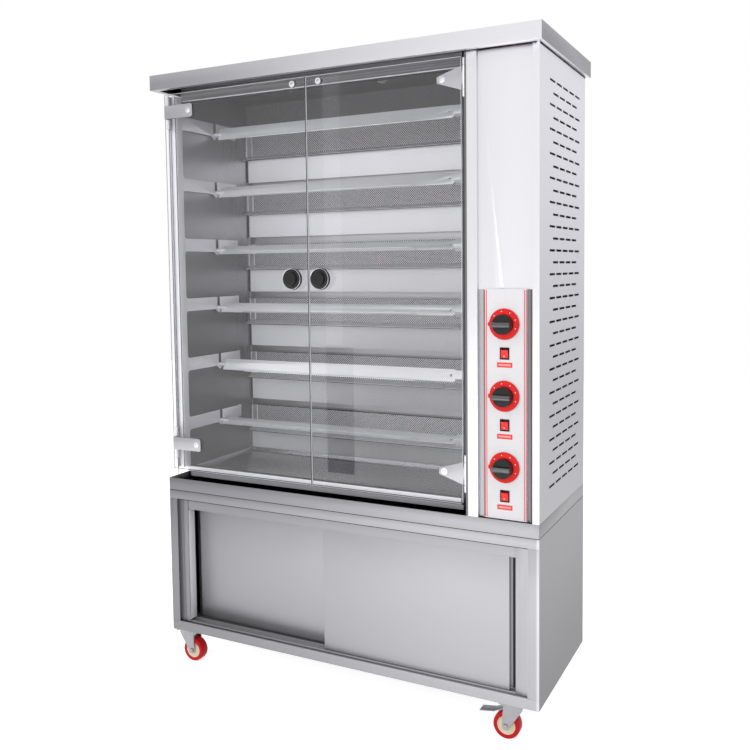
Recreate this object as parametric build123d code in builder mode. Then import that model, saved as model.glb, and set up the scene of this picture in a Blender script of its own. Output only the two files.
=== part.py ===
# Free-standing gas chicken rotisserie: glazed roasting cabinet on a castored base cupboard
# Millimetres. X runs left to right, Y from the front to the back, Z up from the floor.
import math
import os

from build123d import *

os.makedirs("parts", exist_ok=True)

# Overall sizes
body_width = 1200.0
body_depth = 466.0
base_height = 452.0
plinth_height = 38.0
plinth_flange = 20.0
upper_height = 1203.5
roof_height = 45.0

# Sheet metal
sheet = 1.5
seat_gap = 0.3
seam = 0.2
running_gap = 0.06
cut_past = 1.0

# Roof cap
roof_side_overhang = 13.0
roof_front_overhang = 25.0
roof_back_overhang = 16.0
roof_flange = 20.0

# Roasting chamber
chamber_front = 95.0
chamber_rear_gap = 22.0
drive_space = 43.0
liner_gap = 8.5
ceiling_rise = 24.5
lamp_left_inset = 318.0
lamp_left_depth = 260.0
lamp_right_inset = 334.0
lamp_right_depth = 286.0
lamp_radius = 19.0
lamp_base = 5.0
lamp_cover_radius = 15.0
lamp_drop = 12.0
header_drop = 17.5
header_hem = 12.0
floor_level = 35.0
floor_rail = 12.0
wing_front = 45.0
wing_lift = 24.0
wing_top_gap = 7.5

# Drip tray and its runners
tray_lift = 1.5
tray_height = 15.5
tray_lip_height = 17.5
tray_left_gap = 2.0
tray_right_gap = 5.0
tray_back_gap = 5.0
runner_width = 12.0
runner_inset = 20.0
runner_end_gap = 4.0

# Burners, one above the other on the back wall
level_count = 6
level_pitch = 191.5
first_rim = 79.0
rim_height = 11.5
rim_depth = 24.0
mesh_bottom = 8.0
mesh_top = 90.0
reflector_bottom = 114.0
burner_left_gap = 22.0
burner_right_gap = 26.5
burner_thickness = 14.0

# Spits
spit_depth = 250.0
spit_above_rim = 66.0
spit_left = 38.0
spit_wall_gap = 70.0
spit_flange = 38.0
spit_lip = 17.0
spit_thickness = 2.0
spit_lip_left = 122.0
spit_lip_inset = 128.0
spit_lip_slant = 16.0
spit_lip_angle = 70.0
spit_hole_radius = 4.0
spit_hole_inset = 28.0
spit_turns = [62.0, 20.0, 40.0, 48.0, 28.0, 12.0]
notch_radius = 7.0
pin_past_rack = 6.0
pin_overlap = 14.0
spindle_radius = 8.0
socket_width = 26.0
socket_length = 40.0
socket_overlap = 12.0
sprocket_radius = 26.0
sprocket_width = 5.0
sprocket_offset = 12.0
chain_thickness = 5.0
bearing_width = 30.0
bearing_flange = 46.0
bearing_flange_thickness = 3.0
bearing_length = 12.0
bearing_seat_gap = 0.1
gearbox_margin = 14.0
gearbox_thickness = 40.0
gearbox_offset = 34.0
motor_radius = 32.0
motor_length = 52.0
foot_width = 10.0
foot_inset = 6.0

# Spit rack at the left
rack_gap = 18.5
rack_front = 56.0
rack_post = 27.0
rack_arm_back = 365.0
rack_arm_rise = 36.0
rack_arm_drop = 5.0
rack_tooth = 17.0
rack_corner = 10.0
rack_tab_height = 24.0

# Glass doors
glass = 6.0
glass_front = 22.0
glass_bottom = 26.0
glass_top_gap = 6.5
door_side_gap = 3.0
left_door_width = 510.0
door_meeting_gap = 3.0
right_door_gap = 18.0
door_knob_radius = 32.0
door_knob_reach = 30.0
door_knob_inset = 45.0
door_knob_height = 626.0
door_knob_neck = (15.0, 9.0)
door_knob_disc = 10.0
door_knob_cap_radius = 21.0
door_knob_washer = (11.0, 3.0)
catch_radius = 9.5
catch_inset = 43.0
catch_drop = 16.0
catch_front = 3.0
catch_back = 4.0

# Door hinges
left_hinge_inset = 6.0
left_barrel_radius = 5.0
left_barrel_gap = 1.0
right_hinge_inset = 6.0
right_hinge_depth = 20.0
right_barrel_radius = 6.0
barrel_length = 100.0
hinge_pin_radius = 2.5
hinge_leaf = 2.0
hinge_leaf_depth = 38.0
hinge_drop_top = 60.5
hinge_rise_bottom = 107.0
left_plate_length = 108.0
left_plate_height = 40.0
left_plate_corner = 8.0
left_screw_inset = 95.0
right_plate_gap = 3.0
right_plate_length = 70.0
right_plate_height = 62.0
right_plate_tip = 16.0
right_screw_inset = 55.0
screw_radius = 4.0
screw_clearance = 1.0

# Column and controls
column_left_flange = 33.0
column_right_flange = 18.0
column_channel_depth = 12.0
panel_width = 113.2
panel_left_gap = 17.4
panel_right_gap = 15.4
panel_top = 598.0
panel_bottom = 2.0
panel_face = 4.0
knob_inset = 54.6
knob_count = 3
first_knob = 138.7
knob_pitch = 185.0
knob_radius = 40.0
knob_skirt = 7.0
knob_grip_radius = 26.0
knob_bar_width = 13.0
knob_bar_height = 12.0
knob_bar_corner = 3.0
knob_reach = 36.0
stem_radius = 5.0
ring_inset = 1.0
ring_thickness = 2.0
switch_below_knob = 75.4
switch_width = 25.0
switch_height = 31.0
switch_rim = 3.0
switch_depth = 24.0
switch_wall = 1.2
rocker_tilt = 8.0
rocker_depth = 6.0
rocker_reach = 10.0
rocker_dip = 2.5
rocker_pin_radius = 1.5

# Gas train
gas_inlet_rise = 60.0
inlet_radius = 10.5
inlet_length = 22.0
inlet_reach = 14.0
inlet_clearance = 2.0
valve_radius = 12.0
manifold_gap = 46.0
manifold_radius = 11.0
manifold_past = 20.0
feed_radius = 5.0
feed_first_gap = 22.0
feed_step = 15.0
feed_outlet = 24.0
elbow_width = 14.0
stem_past = 4.0

# Vent slots in the right panel
slot_length = 52.0
slot_height = 6.0
slot_pitch = 64.3
slot_row_pitch = 31.05
slot_rows = 35
slots_per_row = 5
slot_first_depth = 118.0
slot_first_height = 74.5

# Base cupboard
frame_side = 30.0
frame_top_rail = 28.0
frame_bottom_rail = 29.0
jamb_width = 35.0
jamb_recess = 8.5
track_depth = 61.5
track_lip = 5.0
track_divide = 27.5
track_divide_width = 2.0
fascia_height = 31.0
base_door_thickness = 20.0
base_door_overlap = 45.0
base_door_top_gap = 4.0
right_door_depth = 12.5
left_door_depth = 45.0
finger_width = 18.0
finger_depth = 8.0

# Castors
castor_inset_y = 43.0
castor_left_inset = 34.0
castor_right_inset = 78.0
castor_trail = 20.0
wheel_radius = 37.0
wheel_headroom = 36.0
wheel_width = 32.0
wheel_side_gap = 1.5
castor_plate_x = 64.0
castor_plate_y = 84.0
castor_plate_thickness = 3.0
bolt_inset = 9.0
bolt_radius = 5.5
bolt_height = 5.0
fork_top_width = 52.0
fork_sheet = 3.0
leg_top = 12.0
race_radius = 22.0
race_height = 6.0
axle_radius = 5.0
axle_boss = 10.0
nut_radius = 8.0
nut_height = 4.0
brake_offset = 18.0
brake_drop = 12.0
brake_width = 30.0
brake_sheet = 2.5
brake_sleeve = 5.0
brake_pin = 3.0
brake_bend = (36.0, 18.0)
brake_end = (76.0, 24.0)

# Places worked out from the sizes above
half_width = body_width / 2
front = -(body_depth + roof_back_overhang - knob_reach) / 2
back = front + body_depth
castor_height = 2 * wheel_radius + wheel_headroom
base_bottom = castor_height
base_top = base_bottom + base_height
plinth_top = base_top + plinth_height
roof_bottom = plinth_top + upper_height
roof_top = roof_bottom + roof_height
column_channel = panel_left_gap + panel_width + panel_right_gap
column_channel_right = half_width - column_right_flange
column_channel_left = column_channel_right - column_channel
column_left = column_channel_left - column_left_flange
panel_left = column_channel_left + panel_left_gap
knob_x = panel_left + knob_inset
chamber_left = -half_width + sheet + liner_gap
chamber_inner_left = chamber_left + sheet
chamber_right = column_left - drive_space
chamber_y = front + chamber_front
chamber_back_y = back - chamber_rear_gap
ceiling = roof_bottom + ceiling_rise
floor_top = base_top + floor_level
chamber_bottom = floor_top - floor_rail
rim_levels = [plinth_top + first_rim + level_pitch * index for index in range(level_count)]
spit_levels = [level + spit_above_rim for level in rim_levels]
spit_y = front + spit_depth
tray_bottom = plinth_top + tray_lift
tray_right = chamber_right - tray_right_gap
spit_right = chamber_right - spit_wall_gap
wall_right_outer = chamber_right + sheet
gearbox_size = 2 * (sprocket_radius + chain_thickness + gearbox_margin)
door_meeting = -half_width + door_side_gap + left_door_width + door_meeting_gap / 2


# Shared forms
def plate(x_range, y_range, z_range, mode=Mode.ADD):
    """A flat sheet or block between the given limits."""
    size = [high - low for low, high in (x_range, y_range, z_range)]
    middle = tuple((low + high) / 2 for low, high in (x_range, y_range, z_range))
    with Locations(middle):
        Box(*size, mode=mode)


def block(x_range, y, z, width, mode=Mode.ADD):
    """A square block along X, centred on the given line."""
    half = width / 2
    plate(x_range, (y - half, y + half), (z - half, z + half), mode)


def rod(start, end, radius, mode=Mode.ADD):
    """A round bar from one point to another."""
    axis = Vector(*end) - Vector(*start)
    with BuildSketch(Plane(origin=start, z_dir=axis.normalized())) as section:
        Circle(radius)
    extrude(section.sketch, amount=axis.length, mode=mode)


def folded(plane, points, length, thickness=sheet):
    """Sheet metal folded along a line of points and extruded from its plane."""
    with BuildSketch(plane) as section:
        with BuildLine():
            Polyline(*points)
            offset(amount=thickness, side=Side.RIGHT, kind=Kind.INTERSECTION)
        make_face()
    extrude(section.sketch, amount=length)


def front_plane(y):
    """A plane facing the front, whose second direction is up."""
    return Plane(origin=(0, y, 0), x_dir=(1, 0, 0), z_dir=(0, -1, 0))


def save(builder, name):
    """Label one finished piece and write it under its own name."""
    builder.part.label = name
    export_step(builder.part, f"parts/{name}.step")


# Base cupboard: side and back panels
base_sides = [(-half_width, -half_width + sheet), (half_width - sheet, half_width)]
inner = (-half_width + sheet, half_width - sheet)
between_sides = (inner[0] + seam, inner[1] - seam)
with BuildPart() as base_panels:
    for side in base_sides:
        plate(side, (front + sheet, back), (base_bottom, base_top))
    plate(between_sides, (back - sheet, back), (base_bottom, base_top))
save(base_panels, "base_panels")

# Base cupboard: bottom and top decks
deck_depth = (front + sheet, back - sheet)
with BuildPart() as base_decks:
    for level in (base_bottom, base_top - sheet):
        plate(inner, deck_depth, (level, level + sheet))
save(base_decks, "base_decks")

# Base cupboard: front rails and stiles, folded back to form the door jambs
opening_bottom = base_bottom + frame_bottom_rail
opening_top = base_top - frame_top_rail
opening_side = half_width - frame_side
with BuildPart() as base_front_frame:
    for edge, corner in ((base_top, opening_top), (base_bottom, opening_bottom)):
        step = math.copysign(sheet, edge - corner)
        plate((-half_width, half_width), (front, front + sheet), sorted((edge, corner)))
        plate(between_sides, (front + sheet, front + jamb_recess), sorted((corner, corner + step)))
    stile_z = (opening_bottom + seam, opening_top - seam)
    for side in (-1, 1):
        edges = [side * half_width, side * opening_side, side * (opening_side - jamb_width)]
        plate(sorted(edges[:2]), (front, front + sheet), stile_z)
        turned = sorted((edges[1], edges[1] + side * sheet))
        plate(turned, (front + sheet, front + jamb_recess), stile_z)
        jamb = sorted((edges[1] + side * sheet, edges[2]))
        plate(jamb, (front + jamb_recess, front + jamb_recess + sheet), stile_z)
save(base_front_frame, "base_front_frame")

# Sliding door tracks, double grooves above and below
track_y = front + jamb_recess + sheet
track_middle = (track_y + track_divide, track_y + track_divide + track_divide_width)
track_back = track_y + track_depth
track_span = (-opening_side, opening_side)
top_lip_bottom = opening_top - fascia_height / 2
with BuildPart() as door_tracks:
    plate(track_span, (track_y, track_back), (opening_bottom, opening_bottom + sheet))
    bottom_lips = (opening_bottom, opening_bottom + track_lip)
    for lip in ((track_y, track_y + sheet), track_middle, (track_back - sheet, track_back)):
        plate(track_span, lip, bottom_lips)
    plate(track_span, (track_y, track_back), (opening_top - sheet, opening_top))
    plate(track_span, (track_y, track_y + sheet), (opening_top - fascia_height, opening_top))
    for lip in (track_middle, (track_back - sheet, track_back)):
        plate(track_span, lip, (top_lip_bottom, opening_top))
save(door_tracks, "door_tracks")

# Sliding base doors: hollow pans with a recessed finger pull at the outer edge
door_bottom = opening_bottom + sheet + seat_gap
door_top = opening_top - sheet - base_door_top_gap
door_outer = opening_side - jamb_width


def sliding_door(name, outer, inner_edge, depth):
    """A folded door pan whose outer edge steps back as a finger pull."""
    y = front + depth
    turn = math.copysign(1, inner_edge - outer)
    step = outer + turn * finger_width
    outline = [
        (outer, y + base_door_thickness),
        (outer, y + finger_depth),
        (step, y + finger_depth),
        (step, y),
        (inner_edge, y),
        (inner_edge, y + base_door_thickness),
    ]
    with BuildPart() as door:
        with BuildSketch(Plane.XY.offset(door_bottom)):
            with BuildLine():
                Polyline(*outline, close=True)
            make_face()
        extrude(amount=door_top - door_bottom)
        rear = door.faces().sort_by(Axis.Y)[-1]
        offset(amount=-sheet, openings=rear, kind=Kind.INTERSECTION)
    save(door, name)


sliding_door("base_door_right", door_outer, -base_door_overlap, right_door_depth)
sliding_door("base_door_left", -door_outer, base_door_overlap, left_door_depth)

# Plinth between the cupboard and the roasting cabinet
with BuildPart() as plinth_frame:
    for y_range in ((front, front + sheet), (back - sheet, back)):
        plate((-half_width, half_width), y_range, (base_top, plinth_top))
    for side in base_sides:
        plate(side, (front + sheet + seam, back - sheet - seam), (base_top, plinth_top))
    flange_z = (base_top, base_top + sheet)
    plate(between_sides, (front + sheet, front + plinth_flange), flange_z)
    plate(between_sides, (back - plinth_flange, back - sheet), flange_z)
save(plinth_frame, "plinth_frame")

# Left side panel, whose front wing stands clear of the plinth and the roof
wing_y = front + wing_front
with BuildPart() as side_panel_left:
    with BuildSketch(Plane.YZ.offset(-half_width)):
        with BuildLine():
            Polyline(
                (chamber_y, plinth_top),
                (back, plinth_top),
                (back, roof_bottom),
                (chamber_y, roof_bottom),
                (chamber_y, roof_bottom - wing_top_gap),
                (wing_y, roof_bottom - wing_top_gap),
                (wing_y, plinth_top + wing_lift),
                (chamber_y, plinth_top + wing_lift),
                close=True,
            )
        make_face()
    extrude(amount=sheet)
save(side_panel_left, "side_panel_left")

# Right side panel with its staggered vent slots
with BuildPart() as side_panel_right:
    plate(base_sides[1], (front + sheet, back), (plinth_top, roof_bottom))
    with BuildSketch(Plane.YZ.offset(half_width)) as slots:
        for row in range(slot_rows):
            shift = slot_pitch / 2 * (row % 2)
            height = plinth_top + slot_first_height + row * slot_row_pitch
            places = []
            for column in range(slots_per_row - row % 2):
                depth = slot_first_depth + shift + column * slot_pitch
                places.append((front + depth, height))
            with Locations(*places):
                Rectangle(slot_length, slot_height)
    extrude(amount=-sheet, mode=Mode.SUBTRACT)
save(side_panel_right, "side_panel_right")

# Back panel of the roasting cabinet
gas_inlet_height = plinth_top + gas_inlet_rise
with BuildPart() as back_panel:
    plate(inner, (back - sheet, back), (plinth_top, roof_bottom))
    inlet_hole = inlet_radius + inlet_clearance
    rod((knob_x, back, gas_inlet_height), (knob_x, back - sheet, gas_inlet_height),
        inlet_hole, Mode.SUBTRACT)
save(back_panel, "back_panel")

# Roof cap: an open pan with a return flange that rests on the panels
roof_half = half_width + roof_side_overhang
roof_y = (front - roof_front_overhang, back + roof_back_overhang)
with BuildPart() as roof_cap:
    plate((-roof_half, roof_half), roof_y, (roof_bottom, roof_top))
    underside = roof_cap.faces().sort_by(Axis.Z)[0]
    offset(amount=-sheet, openings=underside, kind=Kind.INTERSECTION)
    for side in (-1, 1):
        edges = sorted((side * (roof_half - sheet), side * (roof_half - roof_flange)))
        flange_y = (roof_y[0] + sheet, roof_y[1] - sheet)
        plate(edges, flange_y, (roof_bottom, roof_bottom + sheet))
    flange_x = (-roof_half + roof_flange, roof_half - roof_flange)
    plate(flange_x, (roof_y[0] + sheet, roof_y[0] + roof_flange), (roof_bottom, roof_bottom + sheet))
save(roof_cap, "roof_cap")

# Chamber walls, ceiling, floor and header
with BuildPart() as chamber_wall_left:
    edge = (chamber_left - liner_gap, chamber_left)
    plate(edge, (chamber_y, chamber_y + sheet), (chamber_bottom, roof_bottom))
    liner = (chamber_left, chamber_left + sheet)
    plate(liner, (chamber_y, chamber_back_y), (chamber_bottom, ceiling))
save(chamber_wall_left, "chamber_wall_left")

with BuildPart() as chamber_wall_right:
    wall = (chamber_right, wall_right_outer)
    plate(wall, (chamber_y, chamber_back_y), (chamber_bottom, ceiling))
    bearing_seat = bearing_width + 2 * bearing_seat_gap
    for level in spit_levels:
        block((chamber_right - cut_past, wall_right_outer + cut_past), spit_y, level,
              bearing_seat, Mode.SUBTRACT)
    filler = (wall_right_outer + seam, column_left)
    plate(filler, (chamber_y, chamber_y + sheet), (chamber_bottom, roof_bottom))
save(chamber_wall_right, "chamber_wall_right")

chamber_span = (chamber_inner_left, chamber_right)
with BuildPart() as chamber_ceiling:
    plate(chamber_span, (chamber_y, chamber_back_y), (ceiling, ceiling + sheet))
save(chamber_ceiling, "chamber_ceiling")

with BuildPart() as chamber_floor:
    plate(chamber_span, (chamber_y, chamber_back_y), (floor_top - sheet, floor_top))
    plate(chamber_span, (chamber_y, chamber_y + sheet), (chamber_bottom, floor_top - sheet))
    runner_y = (chamber_y + runner_end_gap, chamber_back_y - runner_end_gap)
    for runner in (chamber_inner_left + runner_inset, tray_right - runner_inset - runner_width):
        plate((runner, runner + runner_width), runner_y, (floor_top, tray_bottom - seat_gap))
save(chamber_floor, "chamber_floor")

header_bottom = roof_bottom - header_drop
with BuildPart() as header_rail:
    plate(chamber_span, (chamber_y, chamber_y + sheet), (header_bottom, ceiling))
    hem = (chamber_y + sheet, chamber_y + header_hem)
    plate(chamber_span, hem, (header_bottom, header_bottom + sheet))
save(header_rail, "header_rail")

# Back wall between the burners: one reflector above each burner and one below the first
with BuildPart() as reflector_panels:
    tops = rim_levels + [ceiling]
    bottoms = [floor_top] + [level + reflector_bottom for level in rim_levels]
    for bottom, top in zip(bottoms, tops):
        plate(chamber_span, (chamber_back_y - sheet, chamber_back_y), (bottom, top))
save(reflector_panels, "reflector_panels")

# Burners: a flat box, a mesh over its face and a sloping rim below it
burner_span = (chamber_inner_left + burner_left_gap, chamber_right - burner_right_gap)
burner_face = chamber_back_y + sheet
burner_rear = burner_face + burner_thickness
with BuildPart() as burner_bodies:
    for level in rim_levels:
        plate(burner_span, (burner_face, burner_rear), (level + mesh_bottom, level + mesh_top))
save(burner_bodies, "burner_bodies")

with BuildPart() as burner_meshes:
    for level in rim_levels:
        rise = (level + mesh_bottom, level + mesh_top)
        plate(chamber_span, (chamber_back_y, burner_face), rise)
save(burner_meshes, "burner_meshes")

with BuildPart() as burner_rims:
    for level in rim_levels:
        section = [
            (chamber_back_y - rim_depth, level),
            (chamber_back_y, level + rim_height),
            (chamber_back_y, level + rim_height + sheet),
            (chamber_back_y - rim_depth - sheet, level + sheet),
            (chamber_back_y - rim_depth - sheet, level),
        ]
        with BuildSketch(Plane.YZ.offset(chamber_inner_left)):
            with BuildLine():
                Polyline(*section, close=True)
            make_face()
        extrude(amount=chamber_right - chamber_inner_left)
save(burner_rims, "burner_rims")

# Spit rack: a post with one notched arm for each spit, whose ends fold back to the wall
rack_x = -half_width + sheet + rack_gap
rack_bottom = plinth_top + wing_lift
rack_top = roof_bottom - wing_top_gap
post = (front + rack_front, front + rack_front + rack_post)
arm_end = front + rack_arm_back
with BuildPart() as spit_rack:
    with BuildSketch(Plane.YZ.offset(rack_x)) as rack_outline:
        with Locations(((post[0] + post[1]) / 2, (rack_bottom + rack_top) / 2)):
            Rectangle(rack_post, rack_top - rack_bottom)
        for level in spit_levels:
            arm_middle = level + (rack_arm_rise - rack_arm_drop) / 2
            with Locations(((post[1] + arm_end) / 2, arm_middle)):
                Rectangle(arm_end - post[1], rack_arm_rise + rack_arm_drop)
            with BuildLine():
                Polyline(
                    (spit_y - rack_tooth, level - rack_arm_drop),
                    (spit_y, level - rack_tooth),
                    (spit_y + rack_tooth, level - rack_arm_drop),
                    close=True,
                )
            make_face()
        corners = []
        for corner in rack_outline.vertices():
            if abs(corner.X - post[1]) < sheet and rack_bottom + 1 < corner.Y < rack_top - 1:
                corners.append(corner)
        fillet(corners, radius=rack_corner)
        for level in spit_levels:
            with Locations((spit_y, level)):
                Circle(notch_radius, mode=Mode.SUBTRACT)
            with Locations((spit_y, level + rack_arm_rise)):
                Rectangle(notch_radius * 2, rack_arm_rise * 2, mode=Mode.SUBTRACT)
    extrude(amount=sheet)
    for level in spit_levels:
        fold_z = (level - rack_arm_drop, level + rack_arm_rise)
        plate((chamber_inner_left, rack_x), (arm_end - sheet, arm_end), fold_z)
    for level in spit_levels[:-1]:
        tab_z = level + level_pitch / 2
        tab_reach = (tab_z - rack_tab_height / 2, tab_z + rack_tab_height / 2)
        plate((-half_width + sheet, rack_x), (post[0], post[0] + sheet), tab_reach)
save(spit_rack, "spit_rack")

# Spits: a bent strip between a pin in the rack and a socket on the drive spindle
pin_radius = notch_radius - seat_gap
spindle_start = spit_right + socket_length
sprocket_x = wall_right_outer + sprocket_offset
gearbox_x = wall_right_outer + gearbox_offset
driven = [index % 2 == 0 for index in range(level_count)]


def spit(index, level):
    """One spit, turned about its axis as it was left."""
    turned = Plane(origin=(0, spit_y, level), x_dir=(1, 0, 0), z_dir=(0, -1, 0))
    turned = turned.rotated((-spit_turns[index], 0, 0))
    half = spit_flange / 2
    left_end = -half_width + spit_left
    with BuildPart() as builder:
        with BuildSketch(turned):
            with BuildLine():
                Polyline(
                    (left_end, -half),
                    (spit_right - half, -half),
                    (spit_right, -half / 3),
                    (spit_right, half / 3),
                    (spit_right - half, half),
                    (left_end, half),
                    close=True,
                )
            make_face()
            with Locations((spit_right - spit_hole_inset, 0)):
                Circle(spit_hole_radius, mode=Mode.SUBTRACT)
        extrude(amount=spit_thickness / 2, both=True)
        lip_plane = Plane(turned.location * Location((0, -half, 0), (-spit_lip_angle, 0, 0)))
        lip_left = -half_width + spit_lip_left
        lip_right = spit_right - spit_lip_inset
        with BuildSketch(lip_plane):
            with BuildLine():
                Polyline(
                    (lip_left, 0),
                    (lip_right, 0),
                    (lip_right - spit_lip_slant, -spit_lip),
                    (lip_left + spit_lip_slant, -spit_lip),
                    close=True,
                )
            make_face()
        extrude(amount=spit_thickness)
        pin_ends = (rack_x - pin_past_rack, left_end + pin_overlap)
        rod((pin_ends[0], spit_y, level), (pin_ends[1], spit_y, level), pin_radius)
        with BuildSketch(Plane.YZ.offset(spit_right - socket_overlap)):
            with Locations((spit_y, level)):
                Rectangle(socket_width, socket_width, rotation=-spit_turns[index])
        extrude(amount=socket_overlap + socket_length)
        end = gearbox_x + gearbox_thickness / 2 if driven[index] else sprocket_x + sprocket_width * 2
        rod((spindle_start, spit_y, level), (end, spit_y, level), spindle_radius)
        wheel = (sprocket_x, sprocket_x + sprocket_width)
        rod((wheel[0], spit_y, level), (wheel[1], spit_y, level), sprocket_radius)
    save(builder, f"spit_{index + 1}")


for index, level in enumerate(spit_levels):
    spit(index, level)

# Spindle bearings, flanged square blocks in the chamber's right wall
bearing_x = (chamber_right - bearing_length / 2, chamber_right + bearing_length / 2)
with BuildPart() as spindle_bearings:
    for level in spit_levels:
        block(bearing_x, spit_y, level, bearing_width)
        flange_x = (chamber_right - bearing_flange_thickness, chamber_right)
        block(flange_x, spit_y, level, bearing_flange)
        rod((bearing_x[0], spit_y, level), (bearing_x[1], spit_y, level),
            spindle_radius + running_gap, Mode.SUBTRACT)
save(spindle_bearings, "spindle_bearings")

# Drive chains, one round each pair of sprockets
chain_inner = sprocket_radius + seat_gap
with BuildPart() as drive_chains:
    for low, high in zip(spit_levels[::2], spit_levels[1::2]):
        with BuildSketch(Plane.YZ.offset(sprocket_x)):
            with Locations((spit_y, (low + high) / 2)):
                SlotCenterToCenter(high - low, 2 * (chain_inner + chain_thickness), rotation=90)
                SlotCenterToCenter(high - low, 2 * chain_inner, rotation=90, mode=Mode.SUBTRACT)
        extrude(amount=sprocket_width)
save(drive_chains, "drive_chains")

# Gear motors, each on the lower spindle of its pair, with feet on the chamber wall
foot_reach = gearbox_size / 2 - foot_inset
with BuildPart() as gear_motors:
    for level in spit_levels[::2]:
        rear = gearbox_x + gearbox_thickness
        block((gearbox_x, rear), spit_y, level, gearbox_size)
        rod((rear, spit_y, level), (rear + motor_length, spit_y, level), motor_radius)
        for foot_y in (spit_y - foot_reach, spit_y + foot_reach):
            for foot_z in (level - foot_reach, level + foot_reach):
                block((wall_right_outer, gearbox_x), foot_y, foot_z, foot_width)
        bore_end = gearbox_x + gearbox_thickness / 2 + cut_past
        rod((gearbox_x, spit_y, level), (bore_end, spit_y, level), spindle_radius + running_gap,
            Mode.SUBTRACT)
save(gear_motors, "gear_motors")

# Column: front sheet with a channel for the controls, turned back beside the doors
knob_levels = [plinth_top + first_knob + knob_pitch * index for index in range(knob_count)]
switch_levels = [level - switch_below_knob for level in knob_levels]
stem_hole = stem_radius + cut_past
switch_hole = (switch_width - 2 * cut_past, switch_height - 2 * cut_past)
channel_y = front + column_channel_depth


def control_holes(y):
    """Holes for the knob stems and the switches through the sheet at y."""
    with BuildSketch(front_plane(y - cut_past)) as holes:
        with Locations(*[(knob_x, level) for level in knob_levels]):
            Circle(stem_hole)
        with Locations(*[(knob_x, level) for level in switch_levels]):
            Rectangle(*switch_hole)
    extrude(holes.sketch, amount=-(sheet + 2 * cut_past), mode=Mode.SUBTRACT)


with BuildPart() as column_front:
    corners = [
        (half_width, front),
        (column_channel_right, front),
        (column_channel_right, channel_y),
        (column_channel_left, channel_y),
        (column_channel_left, front),
        (column_left, front),
        (column_left, chamber_y + sheet),
    ]
    folded(Plane.XY.offset(plinth_top), corners, roof_bottom - plinth_top)
    control_holes(channel_y)
save(column_front, "column_front")

# Control panel: a shallow pan in the channel
panel_y = front + panel_face
with BuildPart() as control_panel:
    panel_x = (panel_left, panel_left + panel_width)
    plate(panel_x, (panel_y, channel_y), (plinth_top + panel_bottom, plinth_top + panel_top))
    rear = control_panel.faces().sort_by(Axis.Y)[-1]
    offset(amount=-sheet, openings=rear, kind=Kind.INTERSECTION)
    control_holes(panel_y)
save(control_panel, "control_panel")

# Knob rings and switch housings on the panel's face
rocker_pivot = panel_y + rocker_depth
housing_half = (switch_width / 2 - switch_wall, switch_height / 2 - switch_wall)
well_half = (switch_width / 2 - switch_rim, switch_height / 2 - switch_rim)
rocker_pin_reach = (well_half[0] + housing_half[0]) / 2


def around(half, level):
    """The limits in X and Z of a rectangle centred on a switch."""
    return (knob_x - half[0], knob_x + half[0]), (level - half[1], level + half[1])


with BuildPart() as panel_fittings:
    for level in knob_levels:
        face, seat = (knob_x, panel_y - ring_thickness, level), (knob_x, panel_y, level)
        rod(face, seat, knob_radius - ring_inset)
        rod(face, seat, stem_hole, Mode.SUBTRACT)
    for level in switch_levels:
        rim_x, rim_z = around((switch_width / 2, switch_height / 2), level)
        plate(rim_x, (panel_y - ring_thickness, panel_y), rim_z)
        housing_x, housing_z = around(housing_half, level)
        plate(housing_x, (panel_y, panel_y + switch_depth), housing_z)
        well_x, well_z = around(well_half, level)
        well_y = (panel_y - ring_thickness - cut_past, panel_y + switch_depth - sheet)
        plate(well_x, well_y, well_z, Mode.SUBTRACT)
        pin_ends = [(x, rocker_pivot, level) for x in housing_x]
        rod(*pin_ends, rocker_pin_radius + running_gap, Mode.SUBTRACT)
save(panel_fittings, "panel_fittings")

# Rocker switches on their pins, tilted as they rest
rocker_half_x = well_half[0] - seat_gap
rocker_half_z = well_half[1] - ring_thickness
for index, level in enumerate(switch_levels):
    with BuildPart() as rocker:
        with BuildSketch(Plane.YZ.offset(knob_x - rocker_half_x)):
            with BuildLine():
                Polyline(
                    (rocker_pivot, level - rocker_half_z + sheet),
                    (rocker_pivot - rocker_reach, level - rocker_half_z),
                    (rocker_pivot - rocker_reach + rocker_dip, level),
                    (rocker_pivot - rocker_reach, level + rocker_half_z),
                    (rocker_pivot, level + rocker_half_z - sheet),
                    close=True,
                )
            make_face()
        extrude(amount=2 * rocker_half_x)
        pin_start = (knob_x - rocker_pin_reach, rocker_pivot, level)
        rod(pin_start, (knob_x + rocker_pin_reach, rocker_pivot, level), rocker_pin_radius)
    pivot = Axis((knob_x, rocker_pivot, level), (1, 0, 0))
    rocker.part = rocker.part.rotate(pivot, rocker_tilt)
    save(rocker, f"switch_{index + 1}")

# Gas knobs: a wide skirt, a round grip with a bar across it and a stem
knob_front = front - knob_reach
skirt_y = panel_y - ring_thickness - seat_gap
grip_front = knob_front + knob_bar_height
for index, level in enumerate(knob_levels):
    seat = (knob_x, skirt_y, level)
    with BuildPart() as knob:
        rod(seat, (knob_x, skirt_y - knob_skirt, level), knob_radius)
        rod(seat, (knob_x, grip_front, level), knob_grip_radius)
        with BuildSketch(front_plane(knob_front)) as bar:
            with Locations((knob_x, level)):
                Rectangle(2 * (knob_grip_radius - knob_bar_corner), knob_bar_width)
            fillet(bar.vertices(), radius=knob_bar_corner)
        extrude(amount=-knob_bar_height)
        rod(seat, (knob_x, channel_y + stem_past, level), stem_radius)
    save(knob, f"knob_{index + 1}")

# Gas train: valves behind the knobs, a rising manifold, feed pipes and the inlet
valve_y = channel_y + sheet
manifold_y = valve_y + manifold_gap
feed_y = (burner_face + burner_rear) / 2
burner_middles = [level + (mesh_bottom + mesh_top) / 2 for level in rim_levels]


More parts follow.
